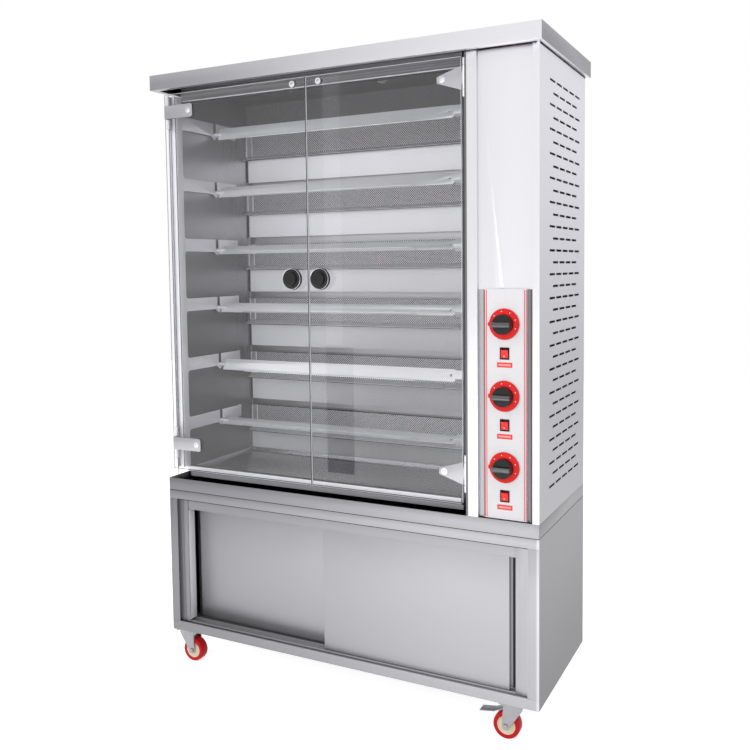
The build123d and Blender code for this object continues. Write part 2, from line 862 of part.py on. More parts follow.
def pipe_run(points):
    """Straight pipes between the points, with a square elbow at each turn."""
    for start, end in zip(points, points[1:]):
        rod(start, end, feed_radius)
    for corner in points[1:-1]:
        with Locations(corner):
            Box(elbow_width, elbow_width, elbow_width)


with BuildPart() as gas_train:
    manifold_top = knob_levels[-1] + manifold_past
    rod((knob_x, manifold_y, gas_inlet_height - manifold_past), (knob_x, manifold_y, manifold_top),
        manifold_radius)
    nipple_start = back - inlet_length + inlet_reach
    rod((knob_x, manifold_y, gas_inlet_height), (knob_x, nipple_start, gas_inlet_height),
        inlet_radius - inlet_clearance)
    rod((knob_x, nipple_start, gas_inlet_height), (knob_x, back + inlet_reach, gas_inlet_height),
        inlet_radius)
    for index, level in enumerate(knob_levels):
        rod((knob_x, valve_y, level), (knob_x, manifold_y, level), valve_radius)
        stem_end = (knob_x, channel_y + stem_past + cut_past, level)
        rod((knob_x, valve_y, level), stem_end, stem_radius + running_gap, Mode.SUBTRACT)
        low, high = burner_middles[2 * index : 2 * index + 2]
        feed_x = knob_x + feed_first_gap + feed_step * index
        outlet_y = valve_y + feed_outlet
        riser_start = (feed_x, feed_y, min(level, low))
        pipe_run([(knob_x, outlet_y, level), (feed_x, outlet_y, level), (feed_x, feed_y, level)])
        pipe_run([riser_start, (feed_x, feed_y, high), (burner_span[1], feed_y, high)])
        pipe_run([(feed_x, feed_y, low), (burner_span[1], feed_y, low)])
save(gas_train, "gas_train")

# Ceiling lamps: a round base with a shallow glass cover
lamp_places = [(-half_width + lamp_left_inset, lamp_left_depth)]
lamp_places.append((chamber_right - lamp_right_inset, lamp_right_depth))
with BuildPart() as oven_lamps:
    for x, depth in lamp_places:
        y = front + depth
        rod((x, y, ceiling), (x, y, ceiling - lamp_base), lamp_radius)
        rod((x, y, ceiling - lamp_base), (x, y, ceiling - lamp_drop), lamp_cover_radius)
save(oven_lamps, "oven_lamps")

# Drip tray: a shallow open pan with a taller front lip
with BuildPart() as drip_tray:
    tray_x = (chamber_inner_left + tray_left_gap, tray_right)
    tray_y = (chamber_y - sheet, chamber_back_y - tray_back_gap)
    plate(tray_x, tray_y, (tray_bottom, tray_bottom + tray_height))
    top_face = drip_tray.faces().sort_by(Axis.Z)[-1]
    offset(amount=-sheet, openings=top_face, kind=Kind.INTERSECTION)
    lip_z = (tray_bottom, tray_bottom + tray_lip_height)
    plate((-half_width + tray_left_gap, tray_right), (tray_y[0] - sheet, tray_y[0]), lip_z)
save(drip_tray, "drip_tray")

# Glass doors
glass_y = (front + glass_front, front + glass_front + glass)
glass_z = (plinth_top + glass_bottom, roof_bottom - glass_top_gap)
left_glass = (-half_width + door_side_gap, door_meeting - door_meeting_gap / 2)
right_glass = (door_meeting + door_meeting_gap / 2, column_left - right_door_gap)
hinge_levels = [plinth_top + hinge_rise_bottom, roof_bottom - hinge_drop_top]
knob_z = plinth_top + door_knob_height
left_knob_x = left_glass[1] - door_knob_inset
right_knob_x = right_glass[0] + door_knob_inset
left_screw_x = -half_width + left_screw_inset
right_plate_root = right_glass[1] + right_plate_gap
right_plate_end = right_plate_root - right_plate_length
right_screw_x = right_plate_root - right_screw_inset
left_catch_x = door_meeting - catch_inset
right_catch_x = door_meeting + catch_inset
catch_z = glass_z[1] - catch_drop

for name, span, holes in (
    ("door_left_glass", left_glass, [(left_knob_x, knob_z), (left_catch_x, catch_z)]
        + [(left_screw_x, level) for level in hinge_levels]),
    ("door_right_glass", right_glass, [(right_knob_x, knob_z), (right_catch_x, catch_z)]
        + [(right_screw_x, level) for level in hinge_levels]),
):
    with BuildPart() as pane:
        plate(span, glass_y, glass_z)
        with BuildSketch(front_plane(glass_y[0])):
            with Locations(*holes):
                Circle(screw_radius + screw_clearance)
        extrude(amount=-glass, mode=Mode.SUBTRACT)
    save(pane, name)

# Hinge plates clamp the glass between a front and a back leaf, with a screw through it
plate_front = (glass_y[0] - hinge_leaf, glass_y[0])
plate_back = (glass_y[1], glass_y[1] + hinge_leaf)
left_axis = (-half_width + left_hinge_inset, plate_back[1] + left_barrel_gap + left_barrel_radius)
right_axis = (column_left - right_hinge_inset, front + right_hinge_depth)
knuckle = barrel_length / 3


def catch_disc(x):
    """A round catch button through the glass."""
    rod((x, glass_y[0], catch_z), (x, glass_y[0] - catch_front, catch_z), catch_radius)
    rod((x, glass_y[1], catch_z), (x, glass_y[1] + catch_back, catch_z), catch_radius)
    rod((x, glass_y[0], catch_z), (x, glass_y[1], catch_z), screw_radius)


with BuildPart() as door_left_fittings:
    for level in hinge_levels:
        for faces in (plate_front, plate_back):
            with BuildSketch(front_plane(faces[0])) as leaf:
                with Locations((left_glass[0] + left_plate_length / 2, level)):
                    Rectangle(left_plate_length, left_plate_height)
                fillet(leaf.vertices().group_by(Axis.X)[-1], radius=left_plate_corner)
            extrude(amount=-hinge_leaf)
        rod((left_screw_x, plate_front[0], level), (left_screw_x, plate_back[1], level), screw_radius)
        middle = (level - knuckle / 2 + seat_gap, level + knuckle / 2 - seat_gap)
        start = (left_axis[0], left_axis[1], middle[0])
        end = (left_axis[0], left_axis[1], middle[1])
        plate((left_axis[0], left_axis[0] + left_barrel_radius), (plate_back[1], left_axis[1]), middle)
        rod(start, end, left_barrel_radius)
        rod(start, end, hinge_pin_radius + running_gap, Mode.SUBTRACT)
    catch_disc(left_catch_x)
save(door_left_fittings, "door_left_fittings")

with BuildPart() as door_right_fittings:
    for level in hinge_levels:
        for faces in (plate_front, plate_back):
            with BuildSketch(front_plane(faces[0])):
                with BuildLine():
                    Polyline(
                        (right_plate_root, level - right_plate_height / 2),
                        (right_plate_root, level + right_plate_height / 2),
                        (right_plate_end, level + right_plate_tip / 2),
                        (right_plate_end, level - right_plate_tip / 2),
                        close=True,
                    )
                make_face()
            extrude(amount=-hinge_leaf)
        rod((right_screw_x, plate_front[0], level), (right_screw_x, plate_back[1], level),
            screw_radius)
        middle = (level - knuckle / 2 + seat_gap, level + knuckle / 2 - seat_gap)
        start = (right_axis[0], right_axis[1], middle[0])
        end = (right_axis[0], right_axis[1], middle[1])
        plate((right_plate_root - cut_past, right_axis[0]), plate_front, middle)
        rod(start, end, right_barrel_radius)
        rod(start, end, hinge_pin_radius + running_gap, Mode.SUBTRACT)
    catch_disc(right_catch_x)
save(door_right_fittings, "door_right_fittings")

# Fixed hinge leaves with their knuckles and pins
with BuildPart() as hinge_leaves:
    for level in hinge_levels:
        for side, axis_xy, radius in (
            (-1, left_axis, left_barrel_radius),
            (1, right_axis, right_barrel_radius),
        ):
            ends = [level - barrel_length / 2, level - knuckle / 2]
            for low, high in (ends, [level + knuckle / 2, level + barrel_length / 2]):
                rod((*axis_xy, low), (*axis_xy, high), radius)
                if side < 0:
                    leaf_x = (-half_width + sheet, -half_width + sheet + hinge_leaf)
                else:
                    leaf_x = (column_left - hinge_leaf, column_left)
                plate(leaf_x, (axis_xy[1], axis_xy[1] + hinge_leaf_depth), (low, high))
            rod((*axis_xy, ends[0]), (*axis_xy, level + barrel_length / 2), hinge_pin_radius)
save(hinge_leaves, "hinge_leaves")

# Door knobs: a two-step grip on a neck, screwed through the glass
for name, x in (("door_left_knob", left_knob_x), ("door_right_knob", right_knob_x)):
    neck_radius, neck_length = door_knob_neck
    washer_radius, washer_thickness = door_knob_washer
    disc_y = glass_y[0] - neck_length
    cap_y = disc_y - door_knob_disc
    with BuildPart() as door_knob:
        for y_start, y_end, radius in (
            (glass_y[0], disc_y, neck_radius),
            (disc_y, cap_y, door_knob_radius),
            (cap_y, glass_y[0] - door_knob_reach, door_knob_cap_radius),
            (glass_y[0], glass_y[1], screw_radius),
            (glass_y[1], glass_y[1] + washer_thickness, washer_radius),
        ):
            rod((x, y_start, knob_z), (x, y_end, knob_z), radius)
    save(door_knob, name)

# Castors: a bolted plate, a swivelling fork, a wheel and, on the right, a brake pedal
castor_left_x = -half_width + castor_left_inset
castor_right_x = half_width - castor_right_inset
castor_places = {
    "front_left": (castor_left_x, front + castor_inset_y, 1),
    "front_right": (castor_right_x, front + castor_inset_y, -1),
    "rear_left": (castor_left_x, back - castor_inset_y, 1),
    "rear_right": (castor_right_x, back - castor_inset_y, -1),
}
plate_z = (base_bottom - castor_plate_thickness, base_bottom)
with BuildPart() as castor_plates:
    for x, y, turn in castor_places.values():
        half_x, half_y = castor_plate_x / 2, castor_plate_y / 2
        plate((x - half_x, x + half_x), (y - half_y, y + half_y), plate_z)
        with BuildSketch(Plane.XY.offset(plate_z[0])):
            with Locations((x, y)):
                bolts = (castor_plate_x - 2 * bolt_inset, castor_plate_y - 2 * bolt_inset)
                with GridLocations(*bolts, 2, 2):
                    RegularPolygon(bolt_radius, 6)
        extrude(amount=-bolt_height)
        rod((x, y, plate_z[0]), (x, y, plate_z[0] - race_height), race_radius)
save(castor_plates, "castor_plates")

fork_top = plate_z[0] - race_height - seat_gap
leg_gap = wheel_width / 2 + wheel_side_gap
leg_outer = leg_gap + fork_sheet
brake_z = fork_top - fork_sheet - brake_drop
for place, (x, y, turn) in castor_places.items():
    axle = x + turn * castor_trail
    brake_x = x - brake_offset
    with BuildPart() as fork:
        top_x = (x - fork_top_width / 2, x + fork_top_width / 2)
        depth = (y - leg_outer, y + leg_outer)
        plate(top_x, depth, (fork_top - fork_sheet, fork_top))
        for leg_y in (y - leg_gap, y + leg_outer):
            with BuildSketch(front_plane(leg_y)):
                with Locations((x, fork_top - leg_top / 2)):
                    Rectangle(fork_top_width, leg_top)
                with Locations((axle, wheel_radius)):
                    Circle(axle_boss)
                make_hull()
            extrude(amount=fork_sheet)
        for nut_y in (y - leg_outer, y + leg_outer + nut_height):
            with BuildSketch(front_plane(nut_y)):
                with Locations((axle, wheel_radius)):
                    RegularPolygon(nut_radius, 6)
            extrude(amount=nut_height)
        rod((axle, y - leg_gap, wheel_radius), (axle, y + leg_gap, wheel_radius), axle_radius)
        if turn < 0:
            rod((brake_x, y - leg_gap, brake_z), (brake_x, y + leg_gap, brake_z), brake_pin)
    save(fork, f"castor_fork_{place}")
    with BuildPart() as wheel:
        rod((axle, y - wheel_width / 2, wheel_radius), (axle, y + wheel_width / 2, wheel_radius),
            wheel_radius)
        rod((axle, y - wheel_width / 2, wheel_radius), (axle, y + wheel_width / 2, wheel_radius),
            axle_radius + running_gap, Mode.SUBTRACT)
    save(wheel, f"castor_wheel_{place}")
    if turn < 0:
        lever = [(brake_x - run, brake_z - fall) for run, fall in ((0, 0), brake_bend, brake_end)]
        with BuildPart() as brake:
            with BuildSketch(front_plane(y - brake_width / 2)):
                with BuildLine():
                    Polyline(*lever)
                    offset(amount=brake_sheet, side=Side.RIGHT, kind=Kind.INTERSECTION)
                make_face()
            extrude(amount=-brake_width)
            pivot_ends = [(brake_x, y + end * brake_width / 2, brake_z) for end in (-1, 1)]
            rod(*pivot_ends, brake_sleeve)
            rod(*pivot_ends, brake_pin + running_gap, Mode.SUBTRACT)
        save(brake, f"castor_brake_{place}")
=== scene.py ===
import math
import bmesh
import bpy
from mathutils import Matrix, Vector


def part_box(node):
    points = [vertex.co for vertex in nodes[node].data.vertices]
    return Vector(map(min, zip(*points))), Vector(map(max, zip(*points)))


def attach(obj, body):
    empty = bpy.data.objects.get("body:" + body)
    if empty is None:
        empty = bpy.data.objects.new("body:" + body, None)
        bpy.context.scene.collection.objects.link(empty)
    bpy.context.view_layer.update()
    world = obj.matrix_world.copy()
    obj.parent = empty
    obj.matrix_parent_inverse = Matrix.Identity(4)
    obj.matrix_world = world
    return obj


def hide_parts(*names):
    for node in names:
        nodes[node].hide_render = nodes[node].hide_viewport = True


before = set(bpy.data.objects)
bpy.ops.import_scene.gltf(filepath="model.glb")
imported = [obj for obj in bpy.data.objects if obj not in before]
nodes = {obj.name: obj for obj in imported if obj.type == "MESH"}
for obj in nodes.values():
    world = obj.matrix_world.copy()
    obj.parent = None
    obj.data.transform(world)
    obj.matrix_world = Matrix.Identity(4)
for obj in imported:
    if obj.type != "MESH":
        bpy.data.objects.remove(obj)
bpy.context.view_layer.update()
mm = 0.001
burnerPitch = 191.5  # from one burner up to the next, in millimetres
print("frame loaded:", len(nodes), "nodes")

# The camera stands right of the middle, a little below the roof
cameraSettings = {
    "place": Vector((1.2095, -2.3151, 1.2576)),
    "forward": Vector((-0.4568, 0.8871, -0.0661)),
    "right": Vector((0.8894, 0.4571, -0.0118)),
    "lens": 41.25,
    "sensor": 36.0,
    "shift": (0.003, -0.068),
}


def makeCamera(settings):
    data = bpy.data.cameras.new("camera")
    data.lens = settings["lens"]
    data.sensor_width = settings["sensor"]
    data.shift_x, data.shift_y = settings["shift"]
    camera = bpy.data.objects.new("camera", data)
    forward = settings["forward"].normalized()
    right = (settings["right"] - forward * settings["right"].dot(forward)).normalized()
    up = right.cross(forward)
    turn = Matrix((right, up, -forward)).transposed().to_4x4()
    camera.matrix_world = Matrix.Translation(settings["place"]) @ turn
    bpy.context.collection.objects.link(camera)
    bpy.context.scene.camera = camera


makeCamera(cameraSettings)

# Studio: white surroundings, soft lamps, a pale floor, and cards that only reflections see
studio = {
    "surroundings": 1.0,
    "surroundingsOnMatt": 0.78,
    "keyPlace": (-1.6, -3.0, 3.4),
    "keySize": 2.4,
    "keyPower": 34.0,
    "fillPlace": (3.2, -1.4, 2.4),
    "fillSize": 2.0,
    "fillPower": 12.0,
    "frontPlace": (0.1, -3.6, 1.3),
    "frontSize": 2.2,
    "frontPower": 58.0,
    "floorSize": 14.0,
    "floorColour": (0.86, 0.86, 0.86, 1),
    "floorGlow": 0.62,
    "floorInReflections": 0.74,
}

bpy.context.scene.view_settings.view_transform = "Standard"


def link(tree, fromSocket, toSocket):
    tree.links.new(fromSocket, toSocket)


def makeWorld(settings):
    world = bpy.data.worlds.new("studio")
    bpy.context.scene.world = world
    world.use_nodes = True
    tree = world.node_tree
    tree.nodes.clear()
    path = tree.nodes.new("ShaderNodeLightPath")
    seen = tree.nodes.new("ShaderNodeMath")
    seen.operation = "ADD"
    seenAll = tree.nodes.new("ShaderNodeMath")
    seenAll.operation = "ADD"
    seenAll.use_clamp = True
    link(tree, path.outputs["Is Camera Ray"], seen.inputs[0])
    link(tree, path.outputs["Is Glossy Ray"], seen.inputs[1])
    link(tree, seen.outputs[0], seenAll.inputs[0])
    link(tree, path.outputs["Is Transmission Ray"], seenAll.inputs[1])
    plain = tree.nodes.new("ShaderNodeBackground")
    plain.inputs["Color"].default_value = (1, 1, 1, 1)
    plain.inputs["Strength"].default_value = settings["surroundingsOnMatt"]
    white = tree.nodes.new("ShaderNodeBackground")
    white.inputs["Color"].default_value = (1, 1, 1, 1)
    white.inputs["Strength"].default_value = settings["surroundings"]
    mix = tree.nodes.new("ShaderNodeMixShader")
    link(tree, seenAll.outputs[0], mix.inputs[0])
    link(tree, plain.outputs[0], mix.inputs[1])
    link(tree, white.outputs[0], mix.inputs[2])
    out = tree.nodes.new("ShaderNodeOutputWorld")
    link(tree, mix.outputs[0], out.inputs["Surface"])


def makeLamp(name, place, size, power, target=(0, 0, 0.95)):
    data = bpy.data.lights.new(name, "AREA")
    data.shape = "SQUARE"
    data.size = size
    data.energy = power
    lamp = bpy.data.objects.new(name, data)
    aim = (Vector(target) - Vector(place)).to_track_quat("-Z", "Y")
    lamp.matrix_world = Matrix.Translation(place) @ aim.to_matrix().to_4x4()
    lamp.visible_glossy = False  # the steel reflects the surroundings and the cards instead
    lamp.visible_transmission = False
    bpy.context.collection.objects.link(lamp)


def floorMaterial(settings):
    material = bpy.data.materials.new("paleFloor")
    material.use_nodes = True
    tree = material.node_tree
    tree.nodes.clear()
    matt = tree.nodes.new("ShaderNodeBsdfDiffuse")
    matt.inputs["Color"].default_value = settings["floorColour"]
    glow = tree.nodes.new("ShaderNodeEmission")
    glow.inputs["Strength"].default_value = settings["floorGlow"]
    path = tree.nodes.new("ShaderNodeLightPath")
    black = tree.nodes.new("ShaderNodeEmission")
    black.inputs["Strength"].default_value = 0.0
    seen = tree.nodes.new("ShaderNodeMath")
    seen.operation = "MULTIPLY_ADD"
    link(tree, path.outputs["Is Glossy Ray"], seen.inputs[0])
    seen.inputs[1].default_value = settings["floorInReflections"]
    link(tree, path.outputs["Is Camera Ray"], seen.inputs[2])
    choose = tree.nodes.new("ShaderNodeMixShader")
    link(tree, seen.outputs[0], choose.inputs[0])
    link(tree, black.outputs[0], choose.inputs[1])
    link(tree, glow.outputs[0], choose.inputs[2])
    add = tree.nodes.new("ShaderNodeAddShader")
    link(tree, matt.outputs[0], add.inputs[0])
    link(tree, choose.outputs[0], add.inputs[1])
    out = tree.nodes.new("ShaderNodeOutputMaterial")
    link(tree, add.outputs[0], out.inputs["Surface"])
    return material


def cardMaterial(name, tone):
    material = bpy.data.materials.new(name)
    material.use_nodes = True
    tree = material.node_tree
    tree.nodes.clear()
    glow = tree.nodes.new("ShaderNodeEmission")
    glow.inputs["Color"].default_value = (tone, tone, tone * 1.03, 1)
    out = tree.nodes.new("ShaderNodeOutputMaterial")
    link(tree, glow.outputs[0], out.inputs["Surface"])
    return material


# Each card: middle, width, height, the direction it faces, tone; the panes show the thin ones
cards = {
    "cardLeft": ((-4.6, -2.6, 1.2), 3.6, 4.0, (1.0, 0.35, 0), 0.72),
    "cardRear": ((2.6, 3.6, 1.0), 4.0, 4.4, (-0.3, -1, 0), 0.84),
    "cardBright": ((-1.38, -2.6, 1.72), 0.115, 1.86, (0, 1, 0), 1.5),
    "cardDark": ((-1.345, -2.6, 0.38), 0.19, 0.80, (0, 1, 0), 0.25),
}


def makeStage(settings):
    bm = bmesh.new()
    bmesh.ops.create_grid(bm, x_segments=1, y_segments=1, size=settings["floorSize"] / 2)
    mesh = bpy.data.meshes.new("floor")
    bm.to_mesh(mesh)
    bm.free()
    floor = bpy.data.objects.new("floor", mesh)
    mesh.materials.append(floorMaterial(settings))
    bpy.context.collection.objects.link(floor)
    for name, (place, width, height, facing, tone) in cards.items():
        bm = bmesh.new()
        bmesh.ops.create_grid(bm, x_segments=1, y_segments=1, size=0.5)
        bmesh.ops.scale(bm, vec=(width, height, 1), verts=bm.verts)
        turn = Vector(facing).to_track_quat("Z", "Y").to_matrix().to_4x4()
        bmesh.ops.transform(bm, matrix=Matrix.Translation(place) @ turn, verts=bm.verts)
        mesh = bpy.data.meshes.new(name)
        bm.to_mesh(mesh)
        bm.free()
        card = bpy.data.objects.new(name, mesh)
        mesh.materials.append(cardMaterial(name, tone))
        card.visible_camera = False
        card.visible_shadow = False
        card.visible_diffuse = False
        card.visible_transmission = width < 1  # only the thin cards show through the panes
        bpy.context.collection.objects.link(card)


makeWorld(studio)
for lamp in ("key", "fill", "front"):
    makeLamp(lamp + "Lamp", studio[lamp + "Place"], studio[lamp + "Size"], studio[lamp + "Power"])
makeStage(studio)
print("camera, lamps and floor made")


# Shader groups that several finishes share
def makeGroup(name, inputs, outputs):
    group = bpy.data.node_groups.new(name, "ShaderNodeTree")
    for label, kind, value in inputs:
        socket = group.interface.new_socket(label, in_out="INPUT", socket_type=kind)
        socket.default_value = value
    for label, kind in outputs:
        group.interface.new_socket(label, in_out="OUTPUT", socket_type=kind)
    start = group.nodes.new("NodeGroupInput")
    end = group.nodes.new("NodeGroupOutput")
    return group, start, end


def mathNode(tree, operation, first, second, third=None):
    node = tree.nodes.new("ShaderNodeMath")
    node.operation = operation
    for socket, value in zip(node.inputs, (first, second, third)):
        if value is None:
            continue
        if isinstance(value, (int, float)):
            socket.default_value = value
        else:
            link(tree, value, socket)
    return node.outputs[0]


# How the scratches and the cloudy patches are spread, and how far scratches change roughness
grainPattern = {"fineDetail": 3.0, "cloudScale": 3.2, "cloudDetail": 4.0, "roughSpread": 0.12}


def brushedGroup(pattern):
    # Long fine scratches along one direction, with faint cloudy patches from handling
    group, start, end = makeGroup(
        "brushedGrain",
        [
            ("Colour", "NodeSocketColor", (0.6, 0.6, 0.6, 1)),
            ("Stretch", "NodeSocketVector", (4, 900, 900)),
            ("Streak", "NodeSocketFloat", 0.06),
            ("Roughness", "NodeSocketFloat", 0.3),
            ("Cloud", "NodeSocketFloat", 0.1),
        ],
        [
            ("Colour", "NodeSocketColor"),
            ("Roughness", "NodeSocketFloat"),
            ("Height", "NodeSocketFloat"),
        ],
    )
    place = group.nodes.new("ShaderNodeTexCoord")
    stretch = group.nodes.new("ShaderNodeVectorMath")
    stretch.operation = "MULTIPLY"
    link(group, place.outputs["Object"], stretch.inputs[0])
    link(group, start.outputs["Stretch"], stretch.inputs[1])
    fine = group.nodes.new("ShaderNodeTexNoise")
    fine.inputs["Scale"].default_value = 1.0
    fine.inputs["Detail"].default_value = pattern["fineDetail"]
    link(group, stretch.outputs[0], fine.inputs["Vector"])
    cloud = group.nodes.new("ShaderNodeTexNoise")
    cloud.inputs["Scale"].default_value = pattern["cloudScale"]
    cloud.inputs["Detail"].default_value = pattern["cloudDetail"]
    link(group, place.outputs["Object"], cloud.inputs["Vector"])
    fineAround = mathNode(group, "SUBTRACT", fine.outputs[0], 0.5)
    cloudAround = mathNode(group, "SUBTRACT", cloud.outputs[0], 0.5)
    streak = mathNode(group, "MULTIPLY", fineAround, start.outputs["Streak"])
    patch = mathNode(group, "MULTIPLY", cloudAround, start.outputs["Cloud"])
    tone = mathNode(group, "ADD", mathNode(group, "ADD", streak, patch), 1.0)
    shade = group.nodes.new("ShaderNodeVectorMath")
    shade.operation = "SCALE"
    link(group, start.outputs["Colour"], shade.inputs[0])
    link(group, tone, shade.inputs["Scale"])
    link(group, shade.outputs[0], end.inputs["Colour"])
    spread = pattern["roughSpread"]
    rough = mathNode(group, "MULTIPLY_ADD", fineAround, spread, start.outputs["Roughness"])
    link(group, mathNode(group, "ADD", rough, patch), end.inputs["Roughness"])
    link(group, fine.outputs[0], end.inputs["Height"])
    return group


def spanGroup():
    # A smooth change between two colours along one axis of the object, used to paint light and
    # shade
    group, start, end = makeGroup(
        "spanShade",
        [
            ("Low", "NodeSocketColor", (0.4, 0.4, 0.4, 1)),
            ("High", "NodeSocketColor", (0.8, 0.8, 0.8, 1)),
            ("Direction", "NodeSocketVector", (1, 0, 0)),
            ("From", "NodeSocketFloat", -0.6),
            ("To", "NodeSocketFloat", 0.6),
        ],
        [("Colour", "NodeSocketColor")],
    )
    place = group.nodes.new("ShaderNodeTexCoord")
    distance = group.nodes.new("ShaderNodeVectorMath")
    distance.operation = "DOT_PRODUCT"
    link(group, place.outputs["Object"], distance.inputs[0])
    link(group, start.outputs["Direction"], distance.inputs[1])
    reach = group.nodes.new("ShaderNodeMapRange")
    reach.interpolation_type = "SMOOTHSTEP"
    link(group, distance.outputs["Value"], reach.inputs["Value"])
    link(group, start.outputs["From"], reach.inputs["From Min"])
    link(group, start.outputs["To"], reach.inputs["From Max"])
    mix = group.nodes.new("ShaderNodeMix")
    mix.data_type = "RGBA"
    link(group, reach.outputs[0], mix.inputs[0])
    link(group, start.outputs["Low"], mix.inputs[6])
    link(group, start.outputs["High"], mix.inputs[7])
    link(group, mix.outputs[2], end.inputs["Colour"])
    return group


brushedGrain = brushedGroup(grainPattern)
spanShade = spanGroup()


def plainMaterial(name):
    material = bpy.data.materials.new(name)
    material.use_nodes = True
    tree = material.node_tree
    shader = tree.nodes["Principled BSDF"]
    return material, tree, shader


def grey(tone):
    # The steel in the photograph leans slightly to violet
    return (tone, tone * 0.988, tone * 1.035, 1)


def addGrain(tree, shader, colour, stretch, streak, roughness, cloud, bump):
    grain = tree.nodes.new("ShaderNodeGroup")
    grain.node_tree = brushedGrain
    grain.inputs["Colour"].default_value = colour
    grain.inputs["Stretch"].default_value = stretch
    grain.inputs["Streak"].default_value = streak
    grain.inputs["Roughness"].default_value = roughness
    grain.inputs["Cloud"].default_value = cloud
    link(tree, grain.outputs["Colour"], shader.inputs["Base Color"])
    link(tree, grain.outputs["Roughness"], shader.inputs["Roughness"])
    if bump > 0:
        relief = tree.nodes.new("ShaderNodeBump")
        relief.inputs["Strength"].default_value = 0.35
        relief.inputs["Distance"].default_value = bump
        link(tree, grain.outputs["Height"], relief.inputs["Height"])
        link(tree, relief.outputs[0], shader.inputs["Normal"])
    return grain


# How the grain is drawn out: along x or z, evenly, or in broad bands across the header
along = {"x": (5, 700, 700), "z": (700, 700, 5), "none": (90, 90, 90), "band": (0.6, 3, 170)}


def steel(name, tone, roughness, grain, streak, cloud, spans=(), metallic=1.0, bump=0.00003):
    # Brushed sheet; each span blends the tone towards another one across the piece, as painted
    # light and shade
    material, tree, shader = plainMaterial(name)
    shader.inputs["Metallic"].default_value = metallic
    group = addGrain(tree, shader, grey(tone), along[grain], streak, roughness, cloud, bump)
    last = None
    for item in spans:
        shade = tree.nodes.new("ShaderNodeGroup")
        shade.node_tree = spanShade
        shade.inputs["Low"].default_value = grey(item["low"])
        shade.inputs["High"].default_value = grey(item["high"])
        shade.inputs["Direction"].default_value = item["direction"]
        shade.inputs["From"].default_value = item["from"]
        shade.inputs["To"].default_value = item["to"]
        if last:
            link(tree, last.outputs[0], shade.inputs["Low"])
        last = shade
    if last:
        link(tree, last.outputs[0], group.inputs["Colour"])
    return material


def moulded(name, colour, roughness, shine=0.5, coat=0.0, bump=0.00002):
    # Plastic, rubber or paint with a fine even texture
    material, tree, shader = plainMaterial(name)
    shader.inputs["Specular IOR Level"].default_value = shine
    addGrain(tree, shader, (*colour, 1), (300, 300, 300), 0.05, roughness, 0.06, bump)
    shader.inputs["Coat Weight"].default_value = coat
    shader.inputs["Coat Roughness"].default_value = 0.08
    return material


def clearGlass(name, colour, roughness=0.0):
    # Light reaches what stands behind the glass, so shadow rays pass straight through
    material, tree, shader = plainMaterial(name)
    shader.inputs["Base Color"].default_value = (*colour, 1)
    shader.inputs["Roughness"].default_value = roughness
    shader.inputs["Transmission Weight"].default_value = 1.0
    shader.inputs["IOR"].default_value = 1.45
    path = tree.nodes.new("ShaderNodeLightPath")
    clear = tree.nodes.new("ShaderNodeBsdfTransparent")
    clear.inputs["Color"].default_value = (0.93, 0.95, 0.95, 1)
    mix = tree.nodes.new("ShaderNodeMixShader")
    link(tree, path.outputs["Is Shadow Ray"], mix.inputs[0])
    link(tree, shader.outputs[0], mix.inputs[1])
    link(tree, clear.outputs[0], mix.inputs[2])
    link(tree, mix.outputs[0], tree.nodes["Material Output"].inputs["Surface"])
    return material


def glowing(name, colour, roughness, strength):
    material, tree, shader = plainMaterial(name)
    addGrain(tree, shader, (*colour, 1), (200, 200, 200), 0.04, roughness, 0.05, 0.00002)
    shader.inputs["Emission Color"].default_value = (*colour, 1)
    shader.inputs["Emission Strength"].default_value = strength
    return material


def across(low, high, start, end):
    return {"low": low, "high": high, "direction": (1, 0, 0), "from": start, "to": end}


def toLeft(low, high, start, end):
    return {"low": low, "high": high, "direction": (-1, 0, 0), "from": start, "to": end}


def upward(low, high, start, end):
    return {"low": low, "high": high, "direction": (0, 0, 1), "from": start, "to": end}
